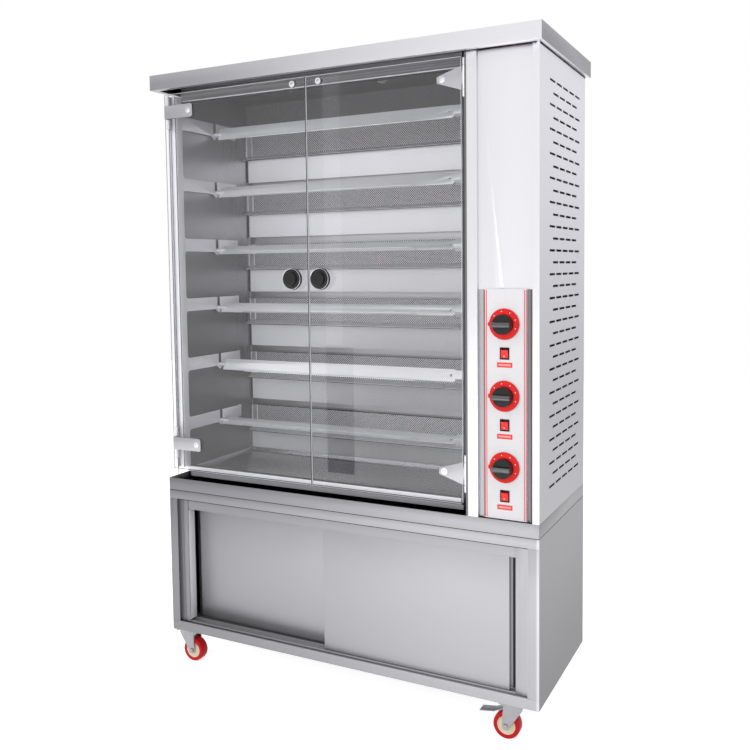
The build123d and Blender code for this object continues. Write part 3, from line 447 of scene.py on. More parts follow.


# Sheet steel: tone, roughness, grain, streak, cloud, spans, metallic share; the spans paint light
# and shade across each piece
sheetFinishes = {
    # painted light: the roof lighter towards the right, and painted shade on its right side face
    "roofSteel": (0.7, 0.34, "x", 0.05, 0.03,
                  [across(0.40, 0.84, -0.75, 0.75), across(0, 0.34, 0.6118, 0.6124)]),
    # painted shade: the column darker on its left part
    "columnSteel": (0.86, 0.36, "z", 0.04, 0.03, [across(0.80, 0.86, 0.42, 0.53)]),
    # painted reflection: the sides darker towards the bottom
    "sideSteel": (0.58, 0.44, "z", 0.05, 0.03, [upward(0.43, 0.84, 0.55, 1.75)]),
    # painted shade: the base sides darker towards the bottom
    "baseSideSteel": (0.5, 0.42, "z", 0.05, 0.03, [upward(0.20, 0.30, 0.1, 0.6)]),
    "baseSteel": (0.40, 0.34, "x", 0.12, 0.06),
    # painted light: the frame lighter towards the right, and a painted highlight along the right
    # stile's outer edge
    "frameSteel": (0.60, 0.36, "x", 0.10, 0.05,
                   [across(0.26, 0.46, -0.7, 0.6), across(0, 0.66, 0.590, 0.5965)]),
    # painted light: the door tracks lighter towards the right
    "trackSteel": (0.60, 0.34, "x", 0.10, 0.05, [across(0.22, 0.38, -0.7, 0.6)], 0.4),
    # painted light: the plinth lighter towards the right, and painted shade on its right side face
    "plinthSteel": (0.60, 0.36, "x", 0.08, 0.05,
                    [across(0.235, 0.44, -0.6, 0.7), across(0, 0.27, 0.5988, 0.5994)]),
    # painted light: the base doors lighter towards the right
    "doorSteel": (0.62, 0.38, "x", 0.05, 0.04, [across(0.32, 0.465, -0.7, 0.5)]),
    # painted shade: the chamber's left wall darker towards the bottom
    "linerSteel": (0.36, 0.30, "z", 0.10, 0.10, [upward(0.20, 0.54, 1.0, 1.7)]),
    # painted shade: the right chamber wall nearly black
    "returnShadeSteel": (0.10, 0.30, "z", 0.10, 0.10),
    # painted shade: the chamber ceiling a little darker towards the right
    "ceilingSteel": (0.34, 0.40, "x", 0.08, 0.10, [across(0.26, 0.22, -0.5, 0.3)]),
    # painted light and shade: the reflectors lighter towards the top and towards the left end, and
    # dark along their top strip under the ceiling
    "reflectorSteel": (0.86, 0.36, "x", 0.04, 0.03,
                       [upward(0.34, 0.94, 0.6, 1.7), toLeft(0, 0.96, 0.0, 0.75),
                        upward(0, 0.15, 1.70, 1.75)], 0.3),
    "rackSteel": (0.94, 0.36, "z", 0.05, 0.05, (), 0.25),
    "hemSteel": (0.90, 0.32, "x", 0.06, 0.06, (), 0.35),
    # a darker steel as painted shade, for the hem under the chamber floor and the right stile's
    # joint
    "gapShadeSteel": (0.46, 0.34, "x", 0.06, 0.06, (), 0.35),
    # mid and dark steel for painted reflection and shade strips on the jamb and in the finger
    # pull; the dark one also serves the dark edge strips
    "jambPale": (0.24, 0.34, "z", 0.10, 0.06, (), 0.5),
    "jambSteel": (0.15, 0.34, "z", 0.10, 0.06, (), 0.5),
    "spitSteel": (0.86, 0.34, "x", 0.08, 0.05, (), 0.45),
    "traySteel": (0.34, 0.24, "x", 0.05, 0.06),
    "rimSteel": (0.70, 0.24, "x", 0.10, 0.08, (), 0.5),
    "headerSteel": (0.36, 0.30, "band", 3.2, 0.1, (), 0.6),
    "wireSteel": (0.76, 0.36, "none", 0.10, 0.10, (), 0.5),
    # painted light: the hinge plates a little lighter towards the right
    "plateSteel": (0.60, 0.38, "x", 0.06, 0.05, [across(0.50, 0.54, -0.5, 0.3)]),
    "chrome": (0.82, 0.12, "none", 0.02, 0.03),
    "zinc": (0.36, 0.30, "none", 0.30, 0.5),
    "chainSteel": (0.28, 0.38, "none", 0.16, 0.16),
    "gripDark": (0.14, 0.30, "x", 1.6, 0.3),
    "brass": (0.5, 0.3, "none", 0.08, 0.1),
    "bronze": (0.4, 0.4, "none", 0.1, 0.1),
}

# Plastic, rubber and paint: colour, roughness, shine, coat, bump height
mouldedFinishes = {
    "burnerIron": ((0.035, 0.035, 0.037), 0.75, 0.5, 0.0, 0.0001),
    "panelWhite": ((0.59, 0.582, 0.60), 0.42, 0.3),
    "lineRed": ((0.60, 0.015, 0.022), 0.5, 0.15),
    "labelRed": ((0.66, 0.06, 0.055), 0.5, 0.2),
    "labelPale": ((0.85, 0.28, 0.26), 0.5, 0.2),
    "knobRed": ((0.60, 0.012, 0.010), 0.30, 0.2),
    "dotYellow": ((0.85, 0.55, 0.30), 0.4),
    "markWhite": ((0.92, 0.92, 0.92), 0.5),
    "blackPlastic": ((0.010, 0.010, 0.011), 0.30, 0.3),
    "blackGloss": ((0.006, 0.006, 0.007), 0.2, 0.25),
    # near black, for painted shade in gaps and recesses and under edges
    "gapShadeDark": ((0.022, 0.022, 0.026), 0.6, 0.1),
    # the panes' edges: a painted shaded copy and a painted lit copy
    "edgeShadeDark": ((0.05, 0.05, 0.06), 0.25, 0.4),
    "edgeHighlightPale": ((0.70, 0.71, 0.73), 0.25, 0.5),
    "tyreRed": ((0.44, 0.005, 0.008), 0.36, 0.18),
    "hubCream": ((0.62, 0.54, 0.40), 0.45, 0.25),
    "rubberWhite": ((0.66, 0.66, 0.66), 0.5, 0.5, 0.1),
    "motorGrey": ((0.11, 0.12, 0.13), 0.45, 0.5, 0.2),
}

finishes = {name: steel(name, *values) for name, values in sheetFinishes.items()}
for name, values in mouldedFinishes.items():
    finishes[name] = moulded(name, *values)
finishes["rockerRed"] = glowing("rockerRed", (0.70, 0.010, 0.010), 0.3, 0.12)
finishes["doorGlass"] = clearGlass("doorGlass", (0.985, 0.985, 0.99))
finishes["lampGlass"] = clearGlass("lampGlass", (0.95, 0.94, 0.90), 0.2)
for name, colour in (("brass", (0.60, 0.40, 0.14, 1)), ("bronze", (0.42, 0.24, 0.10, 1))):
    for node in finishes[name].node_tree.nodes:
        if node.type == "GROUP":
            node.inputs["Colour"].default_value = colour

# What each CAD piece that stays is finished in
nodeFinishes = {
    "base_panels": "baseSideSteel", "base_decks": "baseSteel", "door_tracks": "trackSteel",
    "side_panel_left": "sideSteel", "side_panel_right": "sideSteel", "back_panel": "sideSteel",
    "chamber_wall_left": "linerSteel", "chamber_wall_right": "returnShadeSteel",
    "chamber_ceiling": "ceilingSteel", "chamber_floor": "traySteel", "header_rail": "headerSteel",
    "reflector_panels": "reflectorSteel", "burner_bodies": "burnerIron", "burner_rims": "rimSteel",
    "gas_train": "brass", "gear_motors": "motorGrey", "drive_chains": "chainSteel",
    "spindle_bearings": "bronze", "door_left_glass": "doorGlass", "door_right_glass": "doorGlass",
    "hinge_leaves": "plateSteel",
}
for name, finish in nodeFinishes.items():
    mesh = nodes[name].data
    mesh.materials.clear()
    mesh.materials.append(finishes[finish])
print("finishes made:", len(finishes))


# Shared ways of making pieces: faces with no edge longer than this are shaded smooth
shading = {"smoothUpTo": 60.0, "sharpAngle": 32.0}


def finishPiece(name, bm, body, finish, replaced=(), folds=()):
    # Broad sheets stay flat; folds and small turned faces are smooth
    longest = shading["smoothUpTo"] * mm
    for face in bm.faces:
        face.smooth = face in folds or max(edge.calc_length() for edge in face.edges) < longest
    mesh = bpy.data.meshes.new(name)
    bm.to_mesh(mesh)
    bm.free()
    piece = bpy.data.objects.new(name, mesh)
    mesh.materials.append(finishes[finish])
    mesh.set_sharp_from_angle(angle=math.radians(shading["sharpAngle"]))
    bpy.context.collection.objects.link(piece)
    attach(piece, body)
    if replaced:
        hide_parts(*replaced)


def softened(node, body, finish, slot, width=0.4, segments=2):
    # The same sheet with its folds and cut edges rounded
    bm = bmesh.new()
    bm.from_mesh(nodes[node].data)
    bmesh.ops.remove_doubles(bm, verts=bm.verts, dist=0.00001)
    bmesh.ops.recalc_face_normals(bm, faces=bm.faces)
    bmesh.ops.dissolve_limit(bm, angle_limit=math.radians(1.0), verts=bm.verts, edges=bm.edges)
    corners = [edge for edge in bm.edges if len(edge.link_faces) == 2
               and edge.calc_face_angle(0) > math.radians(30)]
    made = bmesh.ops.bevel(bm, geom=corners, offset=width * mm, offset_type="OFFSET",
                           affect="EDGES", segments=segments, profile=0.5, material=-1,
                           clamp_overlap=True)
    finishPiece(node + ".soft", bm, body, finish, (node,), set(made["faces"]))


def spun(bm, profile, centre, axis, steps=48):
    # A turned form: profile points are (radius, distance along the axis), in millimetres
    axis = Vector(axis).normalized()
    outward = axis.orthogonal().normalized()
    centre = Vector(centre)
    made = [bm.verts.new(centre + outward * radius * mm + axis * height * mm)
            for radius, height in profile]
    edges = [bm.edges.new(pair) for pair in zip(made, made[1:])]
    bmesh.ops.spin(bm, geom=made + edges, cent=centre, axis=axis, angle=math.tau,
                   steps=steps, use_merge=True, use_duplicate=False)
    bmesh.ops.remove_doubles(bm, verts=bm.verts, dist=0.000005)
    bmesh.ops.recalc_face_normals(bm, faces=bm.faces)


def slab(bm, low, high, bevel=0.0, segments=2):
    # A block between two corners in metres, with rounded edges
    low, high = Vector(low), Vector(high)
    made = bmesh.ops.create_cube(bm, size=1.0)["verts"]
    size = high - low
    bmesh.ops.scale(bm, vec=size, verts=made)
    bmesh.ops.translate(bm, vec=(low + high) / 2, verts=made)
    if bevel > 0:
        edges = list({edge for vert in made for edge in vert.link_edges})
        bmesh.ops.bevel(bm, geom=edges, offset=bevel * mm, offset_type="OFFSET",
                        affect="EDGES", segments=segments, profile=0.5, material=-1,
                        clamp_overlap=True)


# Domed heads, as shares of their radius and height; screws have a round recess, rivets none
headShapes = {
    "screw": ((1, 0.35), (0.82, 0.72), (0.45, 0.95), (0.3, 0.98), (0.22, 0.4), (0, 0.4)),
    "rivet": ((1, 0.35), (0.8, 0.75), (0.4, 0.96), (0, 1)),
}


def fastenerHead(bm, place, axis, radius, height, kind="screw"):
    profile = [(0, -0.2), (radius, -0.2)]
    profile += [(radius * out, height * up) for out, up in headShapes[kind]]
    spun(bm, profile, place, axis, 16)


def isVert(item):
    return isinstance(item, bmesh.types.BMVert)


def everything(bm):
    return bm.verts[:] + bm.edges[:] + bm.faces[:]


# Sheet metal that shows, with rounded folds: body, finish, slot, width of the rounding
sheets = {
    "roof_cap": ("cabinet", "roofSteel", "brushed_stainless", 0.6),
    "plinth_frame": ("cabinet", "plinthSteel", "brushed_stainless", 0.4),
    "base_front_frame": ("cabinet", "frameSteel", "brushed_stainless", 0.35),
    "column_front": ("cabinet", "columnSteel", "brushed_stainless", 0.5),
    "control_panel": ("cabinet", "panelWhite", "panel_white", 0.5),
    "spit_rack": ("cabinet", "rackSteel", "bright_stainless", 0.3),
    "base_door_left": ("base_door_left", "doorSteel", "brushed_stainless", 0.5),
    "base_door_right": ("base_door_right", "doorSteel", "brushed_stainless", 0.5),
    "drip_tray": ("drip_tray", "traySteel", "bright_stainless", 0.4),
}
for index in range(6):
    spit = f"spit_{index + 1}"
    sheets[spit] = (spit, "spitSteel", "spit_steel", 0.4)
for side in ("left", "right"):
    sheets[f"door_{side}_fittings"] = (f"door_{side}", "plateSteel", "hinge_steel", 0.4)
for name, values in sheets.items():
    softened(name, *values)
print("sheet metal rounded")

# Burner meshes: wires laid across each other on the slant, heights from the rim's lowest edge
wires = {"thickness": 1.4, "pitch": 5.4, "crimp": 0.6, "bottom": 8.0, "top": 90.0}


def makeMeshes(settings):
    low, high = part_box("burner_meshes")
    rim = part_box("burner_rims")[0].z
    bottom, top = settings["bottom"] * mm, settings["top"] * mm
    height, half = top - bottom, settings["thickness"] * mm / 2
    middle = (low.y + high.y) / 2
    step = settings["pitch"] * mm * math.sqrt(2)
    count = int((high.x - low.x + height) / step)
    bm = bmesh.new()
    slab(bm, (-height, -half, -half), (height, half, half))
    turn = Matrix.Rotation(math.radians(-45), 3, "Y")
    bmesh.ops.rotate(bm, cent=(0, 0, 0), matrix=turn, verts=bm.verts)
    first = everything(bm)
    for index in range(1, count + 1):
        copy = bmesh.ops.duplicate(bm, geom=first)["geom"]
        bmesh.ops.translate(bm, vec=(step * index, 0, 0), verts=list(filter(isVert, copy)))
    start = Vector((low.x - height / 2, middle - settings["crimp"] * mm, rim + (bottom + top) / 2))
    bmesh.ops.translate(bm, vec=start, verts=bm.verts)
    edges = (
        ((0, 0, rim + bottom), (0, 0, -1)),
        ((0, 0, rim + top), (0, 0, 1)),
        ((low.x, 0, 0), (-1, 0, 0)),
        ((high.x, 0, 0), (1, 0, 0)),
    )
    for point, outward in edges:
        bmesh.ops.bisect_plane(bm, geom=everything(bm), plane_co=point, plane_no=outward,
                               clear_outer=True)
    # The other set of wires is the first one turned half round
    other = bmesh.ops.duplicate(bm, geom=everything(bm))["geom"]
    turned = list(filter(isVert, other))
    centre = Vector(((low.x + high.x) / 2, middle, 0))
    bmesh.ops.translate(bm, vec=-centre, verts=turned)
    bmesh.ops.scale(bm, vec=(-1, -1, 1), verts=turned)
    bmesh.ops.translate(bm, vec=centre, verts=turned)
    level = everything(bm)
    for index in range(1, 6):
        copy = bmesh.ops.duplicate(bm, geom=level)["geom"]
        rise = (0, 0, burnerPitch * mm * index)
        bmesh.ops.translate(bm, vec=rise, verts=list(filter(isVert, copy)))
    finishPiece("burnerWires", bm, "cabinet", "wireSteel", ("burner_meshes",))


makeMeshes(wires)
print("burner meshes laid")

# Painted shade under the rims and at the reflectors' left ends, and hems beside the meshes
backShadeAndHems = {
    "rimBelow": (677.2, 679.2), "reflector": (793.0, 870.0), "mesh": (693.0, 768.0),
    "hemPlaces": (0.4, 22.0), "hemWidth": 3.4,
}


def makeBackShadeAndHems(settings):
    low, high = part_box("burner_rims")
    shade, hems = bmesh.new(), bmesh.new()

    def block(bm, xRange, yRange, zRange, bevel, segments):
        zRange = [(z + rise) * mm for z in zRange]
        slab(bm, *zip(xRange, yRange, zRange), bevel, segments)

    for index in range(6):
        rise = burnerPitch * index
        block(shade, (low.x + 1 * mm, high.x - 1 * mm), (low.y - 0.6 * mm, low.y + 1.2 * mm),
              settings["rimBelow"], 0.2, 1)
        if index < 5:
            block(shade, (low.x + 0.4 * mm, low.x + 5.6 * mm),
                  (high.y - 3.4 * mm, high.y - 2.0 * mm), settings["reflector"], 0.2, 1)
        for place in settings["hemPlaces"]:
            x = low.x + place * mm
            block(hems, (x, x + settings["hemWidth"] * mm), (high.y - 3.2 * mm, high.y - 0.6 * mm),
                  settings["mesh"], 0.4, 2)
    finishPiece("backShade", shade, "cabinet", "gapShadeDark")
    finishPiece("meshHems", hems, "cabinet", "rackSteel")


makeBackShadeAndHems(backShadeAndHems)

# Screws along the burner rims and through the hinge plates, and rivets on the sides
screws = {
    "rimPlaces": (-558, -378, -198, -20, 161, 341),
    "rimRadius": 3.6,
    "rimSlope": (0, -11.5, 24),
    "plateRadius": 7.0,
    "platePlaces": {"left": -505, "right": 333},
    "plateLevels": (707, 1743),
    "rivetRadius": 2.6,
    "rivetPitch": 265.0,
}


def makeRimScrews(settings):
    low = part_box("burner_rims")[0]
    bm = bmesh.new()
    slope = Vector(settings["rimSlope"]).normalized()
    for index in range(6):
        for x in settings["rimPlaces"]:
            place = (x * mm, low.y + 14 * mm, low.z + (burnerPitch * index + 6.9) * mm)
            fastenerHead(bm, place, slope, settings["rimRadius"], 2.2)
    finishPiece("rimScrews", bm, "cabinet", "chrome")


def makeSideRivets(settings):
    # Down both edges of the slotted side, and two on the side of the base
    low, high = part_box("side_panel_right")
    bm = bmesh.new()
    places = [(high.x, y, low.z + (60 + settings["rivetPitch"] * index) * mm)
              for y in (low.y + 12 * mm, high.y - 12 * mm) for index in range(5)]
    low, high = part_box("base_panels")
    places += [(high.x, y, high.z - 20 * mm) for y in (low.y + 60 * mm, high.y - 40 * mm)]
    for place in places:
        fastenerHead(bm, place, (1, 0, 0), settings["rivetRadius"], 0.9, "rivet")
    finishPiece("sideRivets", bm, "cabinet", "sideSteel")


def makeHingeScrews(settings):
    radius = settings["plateRadius"]
    for side, x in settings["platePlaces"].items():
        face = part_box(f"door_{side}_glass")[0].y - 2 * mm
        bm = bmesh.new()
        for z in settings["plateLevels"]:
            place = (x * mm, face, z * mm)
            fastenerHead(bm, place, (0, -1, 0), radius, 3.0)
            spun(bm, [(radius * 0.7, 0), (radius * 1.25, 0), (radius * 1.25, 0.8),
                      (radius * 0.7, 0.8)], place, (0, -1, 0), 24)
        finishPiece(f"hingeScrews.{side}", bm, f"door_{side}", "chrome")


makeRimScrews(screws)
makeSideRivets(screws)
makeHingeScrews(screws)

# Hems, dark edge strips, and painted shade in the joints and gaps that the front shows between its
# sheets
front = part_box("plinth_frame")[0].y


def deep(distance):
    return front + distance * mm


# Each strip: ranges of x, depth and z in millimetres, then its finish and its body
strips = {
    "rackFlange": ((-597.5, -583.0), (54.6, 55.6), (624, 1796), "rackSteel", "cabinet"),
    "rackJoint": ((-583.0, -579.6), (54.8, 55.6), (624, 1796), "jambSteel", "cabinet"),
    "wingEdge": ((-600.2, -597.6), (44.2, 45.0), (600.5, 1803), "jambSteel", "cabinet"),
    "columnSeal": ((402.8, 408.0), (-0.5, 0.2), (600.5, 1803), "jambSteel", "cabinet"),
    "roofShadeSide": ((600.2, 600.8), (3, 464), (1799.4, 1803.3), "gapShadeDark", "cabinet"),
    "trayShade": ((-590, 352), (92.6, 94.2), (619.3, 624.4), "gapShadeDark", "drip_tray"),
    # painted reflection on the left jamb: a dark band, then a mid band
    "jambReflectionDark": ((-569.2, -552), (7.9, 8.3), (140, 532), "jambSteel", "cabinet"),
    "jambReflectionMid": ((-550.4, -535.4), (7.9, 8.3), (140, 532), "jambPale", "cabinet"),
    # painted shade in the right door's finger pull, grey then black
    "pullShade": ((513.5, 524.5), (19.9, 20.6), (150, 528), "jambPale", "base_door_right"),
    "pullShadeDark": ((524.5, 533.5), (19.9, 20.6), (150, 528), "gapShadeDark", "base_door_right"),
    "jambReturnLeft": ((-536.2, -535.5), (10.2, 40), (146, 500), "hemSteel", "cabinet"),
    "jambReturnRight": ((535.5, 536.2), (10.2, 40), (146, 500), "hemSteel", "cabinet"),
    "trayHem": ((-597, 355), (89.6, 91.8), (602.4, 619.2), "hemSteel", "drip_tray"),
    # the hem under the chamber floor, grey as painted shade
    "floorHem": ((-588, 359), (93.2, 94.8), (586, 600), "gapShadeSteel", "cabinet"),
    "headerHem": ((-588, 359), (92.4, 94.8), (1785.2, 1788.2), "hemSteel", "cabinet"),
    # painted shade in the gap behind the header's hem
    "headerGap": ((-588, 359), (95.4, 106), (1780.6, 1785.0), "gapShadeDark", "cabinet"),
    # painted shade in the joints of the plinth, the rail and the stiles
    "plinthJoint": ((-599.4, 599.4), (-0.2, 1.0), (561.0, 562.8), "gapShadeDark", "cabinet"),
    "plinthSideJointShade": ((599.4, 600.2), (1.5, 464), (561.0, 562.6), "gapShadeDark", "cabinet"),
    "railJoint": ((-570, 570), (-0.2, 0.6), (533.2, 534.8), "gapShadeDark", "cabinet"),
    "stileJointShadeLeft": ((-570.9, -569.3), (-0.2, 0.6), (140, 533), "gapShadeDark", "cabinet"),
    "stileJointShadeRight": ((569.3, 570.9), (-0.2, 0.6), (140, 533), "gapShadeSteel", "cabinet"),
}


def makeStrips(settings):
    for name, (xRange, depth, zRange, finish, body) in settings.items():
        bm = bmesh.new()
        low, high = ((x * mm, deep(y), z * mm) for x, y, z in zip(xRange, depth, zRange))
        slab(bm, low, high, 0.25, 2)
        finishPiece(name, bm, body, finish)


makeStrips(strips)

# Polished edges of the two panes, some painted dark as shade and some pale as a highlight: how far
# they reach past the edge, and past the faces
paneEdges = {"thick": 0.5, "proud": 0.1}


def makePaneEdges(settings):
    thick, proud = settings["thick"] * mm, settings["proud"] * mm
    for side in ("left", "right"):
        low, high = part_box(f"door_{side}_glass")
        face, rear = low.y - proud, high.y + proud
        dark, pale = bmesh.new(), bmesh.new()
        inner, outer = (high.x, low.x) if side == "left" else (low.x, high.x)
        # the bottom edge, and the left pane's inner edge, get painted shade; the other edges a
        # painted highlight
        edges = (
            (dark if side == "left" else pale, inner, inner, low.z, high.z),
            (dark, low.x, high.x, low.z, low.z),
            (pale, outer, outer, low.z, high.z),
            (pale, low.x, high.x, high.z, high.z),
        )
        for bm, left, right, bottom, top in edges:
            wide, tall = (thick, 0) if left == right else (0, thick)
            slab(bm, (left - wide, face, bottom - tall), (right + wide, rear, top + tall),
                 settings["proud"], 1)
        finishPiece(f"paneEdgeShade.{side}", dark, f"door_{side}", "edgeShadeDark")
        finishPiece(f"paneEdgeHighlight.{side}", pale, f"door_{side}", "edgeHighlightPale")


makePaneEdges(paneEdges)

# Hinge knuckles: the outer two stay with the cabinet, the middle one turns with the door
hinges = {
    "left": {"axis": (-594.0, 36.0), "radius": 5.2, "plate": 20.0},
    "right": {"axis": (397.0, 20.0), "radius": 6.2, "plate": 31.0},
    "levels": (707.0, 1743.0),
    "half": 50.0,
}


def makeKnuckles(settings):
    for side in ("left", "right"):
        hinge = settings[side]
        x, depth = hinge["axis"]
        radius, plate, half = hinge["radius"], hinge["plate"], settings["half"]
        fixed, turning = bmesh.new(), bmesh.new()
        for level in settings["levels"]:
            centre = (x * mm, deep(depth), level * mm)
            for sign in (-1, 1):
                outer = [(radius * 0.5, plate + 0.8), (radius - 0.5, plate + 0.8),
                         (radius, plate + 1.4), (radius, half - 1.2), (radius - 0.8, half),
                         (0, half + 0.4)]
                spun(fixed, [(out, sign * up) for out, up in outer], centre, (0, 0, 1), 32)
            middle = [(radius * 0.5, -plate), (radius - 0.5, -plate), (radius, -plate + 0.6),
                      (radius, plate - 0.6), (radius - 0.5, plate), (radius * 0.5, plate)]
            spun(turning, middle, centre, (0, 0, 1), 32)
        finishPiece(f"knuckles.{side}", fixed, "cabinet", "hemSteel")
        finishPiece(f"doorKnuckles.{side}", turning, f"door_{side}", "hemSteel")


makeKnuckles(hinges)

# The channel on both sides of the control panel, which mirrors the dark gap beside it
channel = {
    "left": (437.0, 453.0), "leftShade": (0.42, 0.05, 447, 452),
    "right": (567.0, 581.0), "rightShade": (0.24, 0.04, 568, 580),
    "depth": 11.4, "thick": 0.8, "top": 1197.0,
}


def makeChannel(settings):
    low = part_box("control_panel")[0]
    depth = settings["depth"]
    for side in ("left", "right"):
        finish = f"channel{side.capitalize()}"
        bright, dark, start, end = settings[f"{side}Shade"]
        shade = [across(bright, dark, start * mm, end * mm)]
        finishes[finish] = steel(finish, bright, 0.3, "z", 0.04, 0.05, shade, 0.5, 0.00002)
        bm = bmesh.new()
        start, end = settings[side]
        slab(bm, (start * mm, deep(depth - settings["thick"]), low.z + 1 * mm),
             (end * mm, deep(depth), settings["top"] * mm), 0.2, 1)
        finishPiece(f"channelLiner.{side}", bm, "cabinet", finish)


makeChannel(channel)

# Door catches: a white washer and a screw on each pane
catches = {"left": -128.5, "right": -42.5, "height": 1781.0, "radius": 9.4}


def makeCatches(settings):
    for side in ("left", "right"):
        bm = bmesh.new()
        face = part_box(f"door_{side}_glass")[0].y
        centre = (settings[side] * mm, face, settings["height"] * mm)
        radius = settings["radius"]
        spun(bm, [(radius * 0.45, 0.0), (radius, 0.0), (radius, 2.6), (radius * 0.9, 3.3),
                  (radius * 0.5, 3.3), (radius * 0.45, 2.4)], centre, (0, -1, 0), 32)
        finishPiece(f"catchRing.{side}", bm, f"door_{side}", "rubberWhite")
        bm = bmesh.new()
        place = (centre[0], face - 1.6 * mm, centre[2])
        fastenerHead(bm, place, (0, -1, 0), radius * 0.42, 2.2)
        finishPiece(f"catchScrew.{side}", bm, f"door_{side}", "chrome")


makeCatches(catches)

# Door knobs: a broad flange and a domed grip in black, with a bright washer on the glass
doorKnob = {"flange": 32.0, "grip": 21.0, "reach": 30.0}


def makeDoorKnobs(settings):
    flange, grip, reach = settings["flange"], settings["grip"], settings["reach"]
    profiles = {
        "doorKnob": [(4.0, -8.0), (4.0, 0.0), (14.0, 0.0), (15.0, 1.0), (15.0, 7.5),
                     (flange - 2.5, 8.6), (flange - 0.6, 9.6), (flange, 11.2), (flange, 15.5),
                     (flange - 1.0, 17.6), (flange - 3.5, 18.8), (grip + 2.5, 19.6),
                     (grip + 0.6, 20.6), (grip, 22.4), (grip - 0.3, reach - 4.0),
                     (grip - 1.4, reach - 1.6), (grip - 4.0, reach - 0.4), (0, reach)],
        "doorKnobWasher": [(3.0, -9.0), (11.0, -9.0), (11.0, -6.4), (9.0, -6.0), (3.0, -6.0)],
        "doorKnobRing": [(flange - 3.2, 18.72), (flange - 2.2, 18.2), (flange - 1.6, 18.5),
                         (flange - 2.4, 19.1), (flange - 3.2, 18.72)],
    }
    for side in ("left", "right"):
        low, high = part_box(f"door_{side}_knob")
        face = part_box(f"door_{side}_glass")[0].y
        centre = ((low.x + high.x) / 2, face, (low.z + high.z) / 2)
        for name, profile in profiles.items():
            bm = bmesh.new()
            spun(bm, profile, centre, (0, -1, 0), 32 if name == "doorKnobWasher" else 72)
            finish = "blackPlastic" if name == "doorKnob" else "chrome"
            replaced = (f"door_{side}_knob",) if name == "doorKnob" else ()
            finishPiece(f"{name}.{side}", bm, f"door_{side}", finish, replaced)


makeDoorKnobs(doorKnob)
print("door hardware made")

# Gas knobs: red skirt, dark grip with a bar, a red pointer and pale marks at some angles
gasKnob = {
    "skirt": 40.0, "grip": 26.0, "barWidth": 13.0, "barHalfLength": 24.0, "behind": 2.3,
    "pointerReach": 41.5, "marks": (40, 80, 120, 160, 200),
}


def makeGasKnobs(settings):
    skirt, grip = settings["skirt"], settings["grip"]
    halfWidth, halfLength = settings["barWidth"] / 2 * mm, settings["barHalfLength"] * mm
    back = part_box("control_panel")[0].y - settings["behind"] * mm
    for index in range(3):
        name = f"knob_{index + 1}"
        low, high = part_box(name)
        x, z = (low.x + high.x) / 2, (low.z + high.z) / 2
        centre = (x, back, z)
        reach = (back - low.y) / mm
        bm = bmesh.new()
        spun(bm, [(6.0, 0.0), (skirt - 0.8, 0.0), (skirt, 0.8), (skirt, 2.6), (skirt - 1.0, 3.8),
                  (grip + 5.0, 6.4), (grip + 2.6, 7.0), (grip - 1.0, 7.0), (grip - 1.0, 2.0),
                  (6.0, 2.0), (6.0, 0.0)], centre, (0, -1, 0), 80)
        finishPiece(f"knobSkirt.{index + 1}", bm, name, "knobRed", (name,))
        bm = bmesh.new()
        spun(bm, [(5.0, -11.0), (5.0, 3.0), (grip - 1.2, 3.0), (grip, 7.2),
                  (grip - 0.6, reach - 13.0), (grip - 2.2, reach - 11.4),
                  (grip - 4.5, reach - 11.0), (0, reach - 11.0)], centre, (0, -1, 0), 64)
        finishPiece(f"knobGrip.{index + 1}", bm, name, "blackPlastic")
        bm = bmesh.new()
        slab(bm, (x - halfLength, low.y, z - halfWidth),
             (x + halfLength, low.y + 13 * mm, z + halfWidth), 2.2, 4)
        finishPiece(f"knobBar.{index + 1}", bm, name, "gripDark")
        bm = bmesh.new()
        slab(bm, (x - settings["pointerReach"] * mm, back - 9.2 * mm, z - 5 * mm),
             (x - 24 * mm, back - 3.2 * mm, z + 5 * mm), 1.4, 3)
        slab(bm, (x - 25.5 * mm, low.y + 2 * mm, z - 4 * mm),
             (x - 21 * mm, low.y + 12 * mm, z + 4 * mm), 1.2, 3)
        finishPiece(f"knobPointer.{index + 1}", bm, name, "knobRed")
        bm = bmesh.new()
        for angle in settings["marks"]:
            turn = Matrix.Rotation(math.radians(angle), 4, "Y")
            before = set(bm.verts)
            slab(bm, (-0.034, -0.0062, -0.0009), (-0.0296, -0.0050, 0.0009), 0.2, 1)
            made = [vert for vert in bm.verts if vert not in before]
            bmesh.ops.transform(bm, matrix=Matrix.Translation(centre) @ turn, verts=made)
        finishPiece(f"knobMarks.{index + 1}", bm, name, "markWhite")


makeGasKnobs(gasKnob)

# Rings behind the knobs, and rocker switches in their bezels
switchParts = {"width": 25.0, "height": 31.0, "rim": 3.0, "below": 75.4, "ring": 39.0}


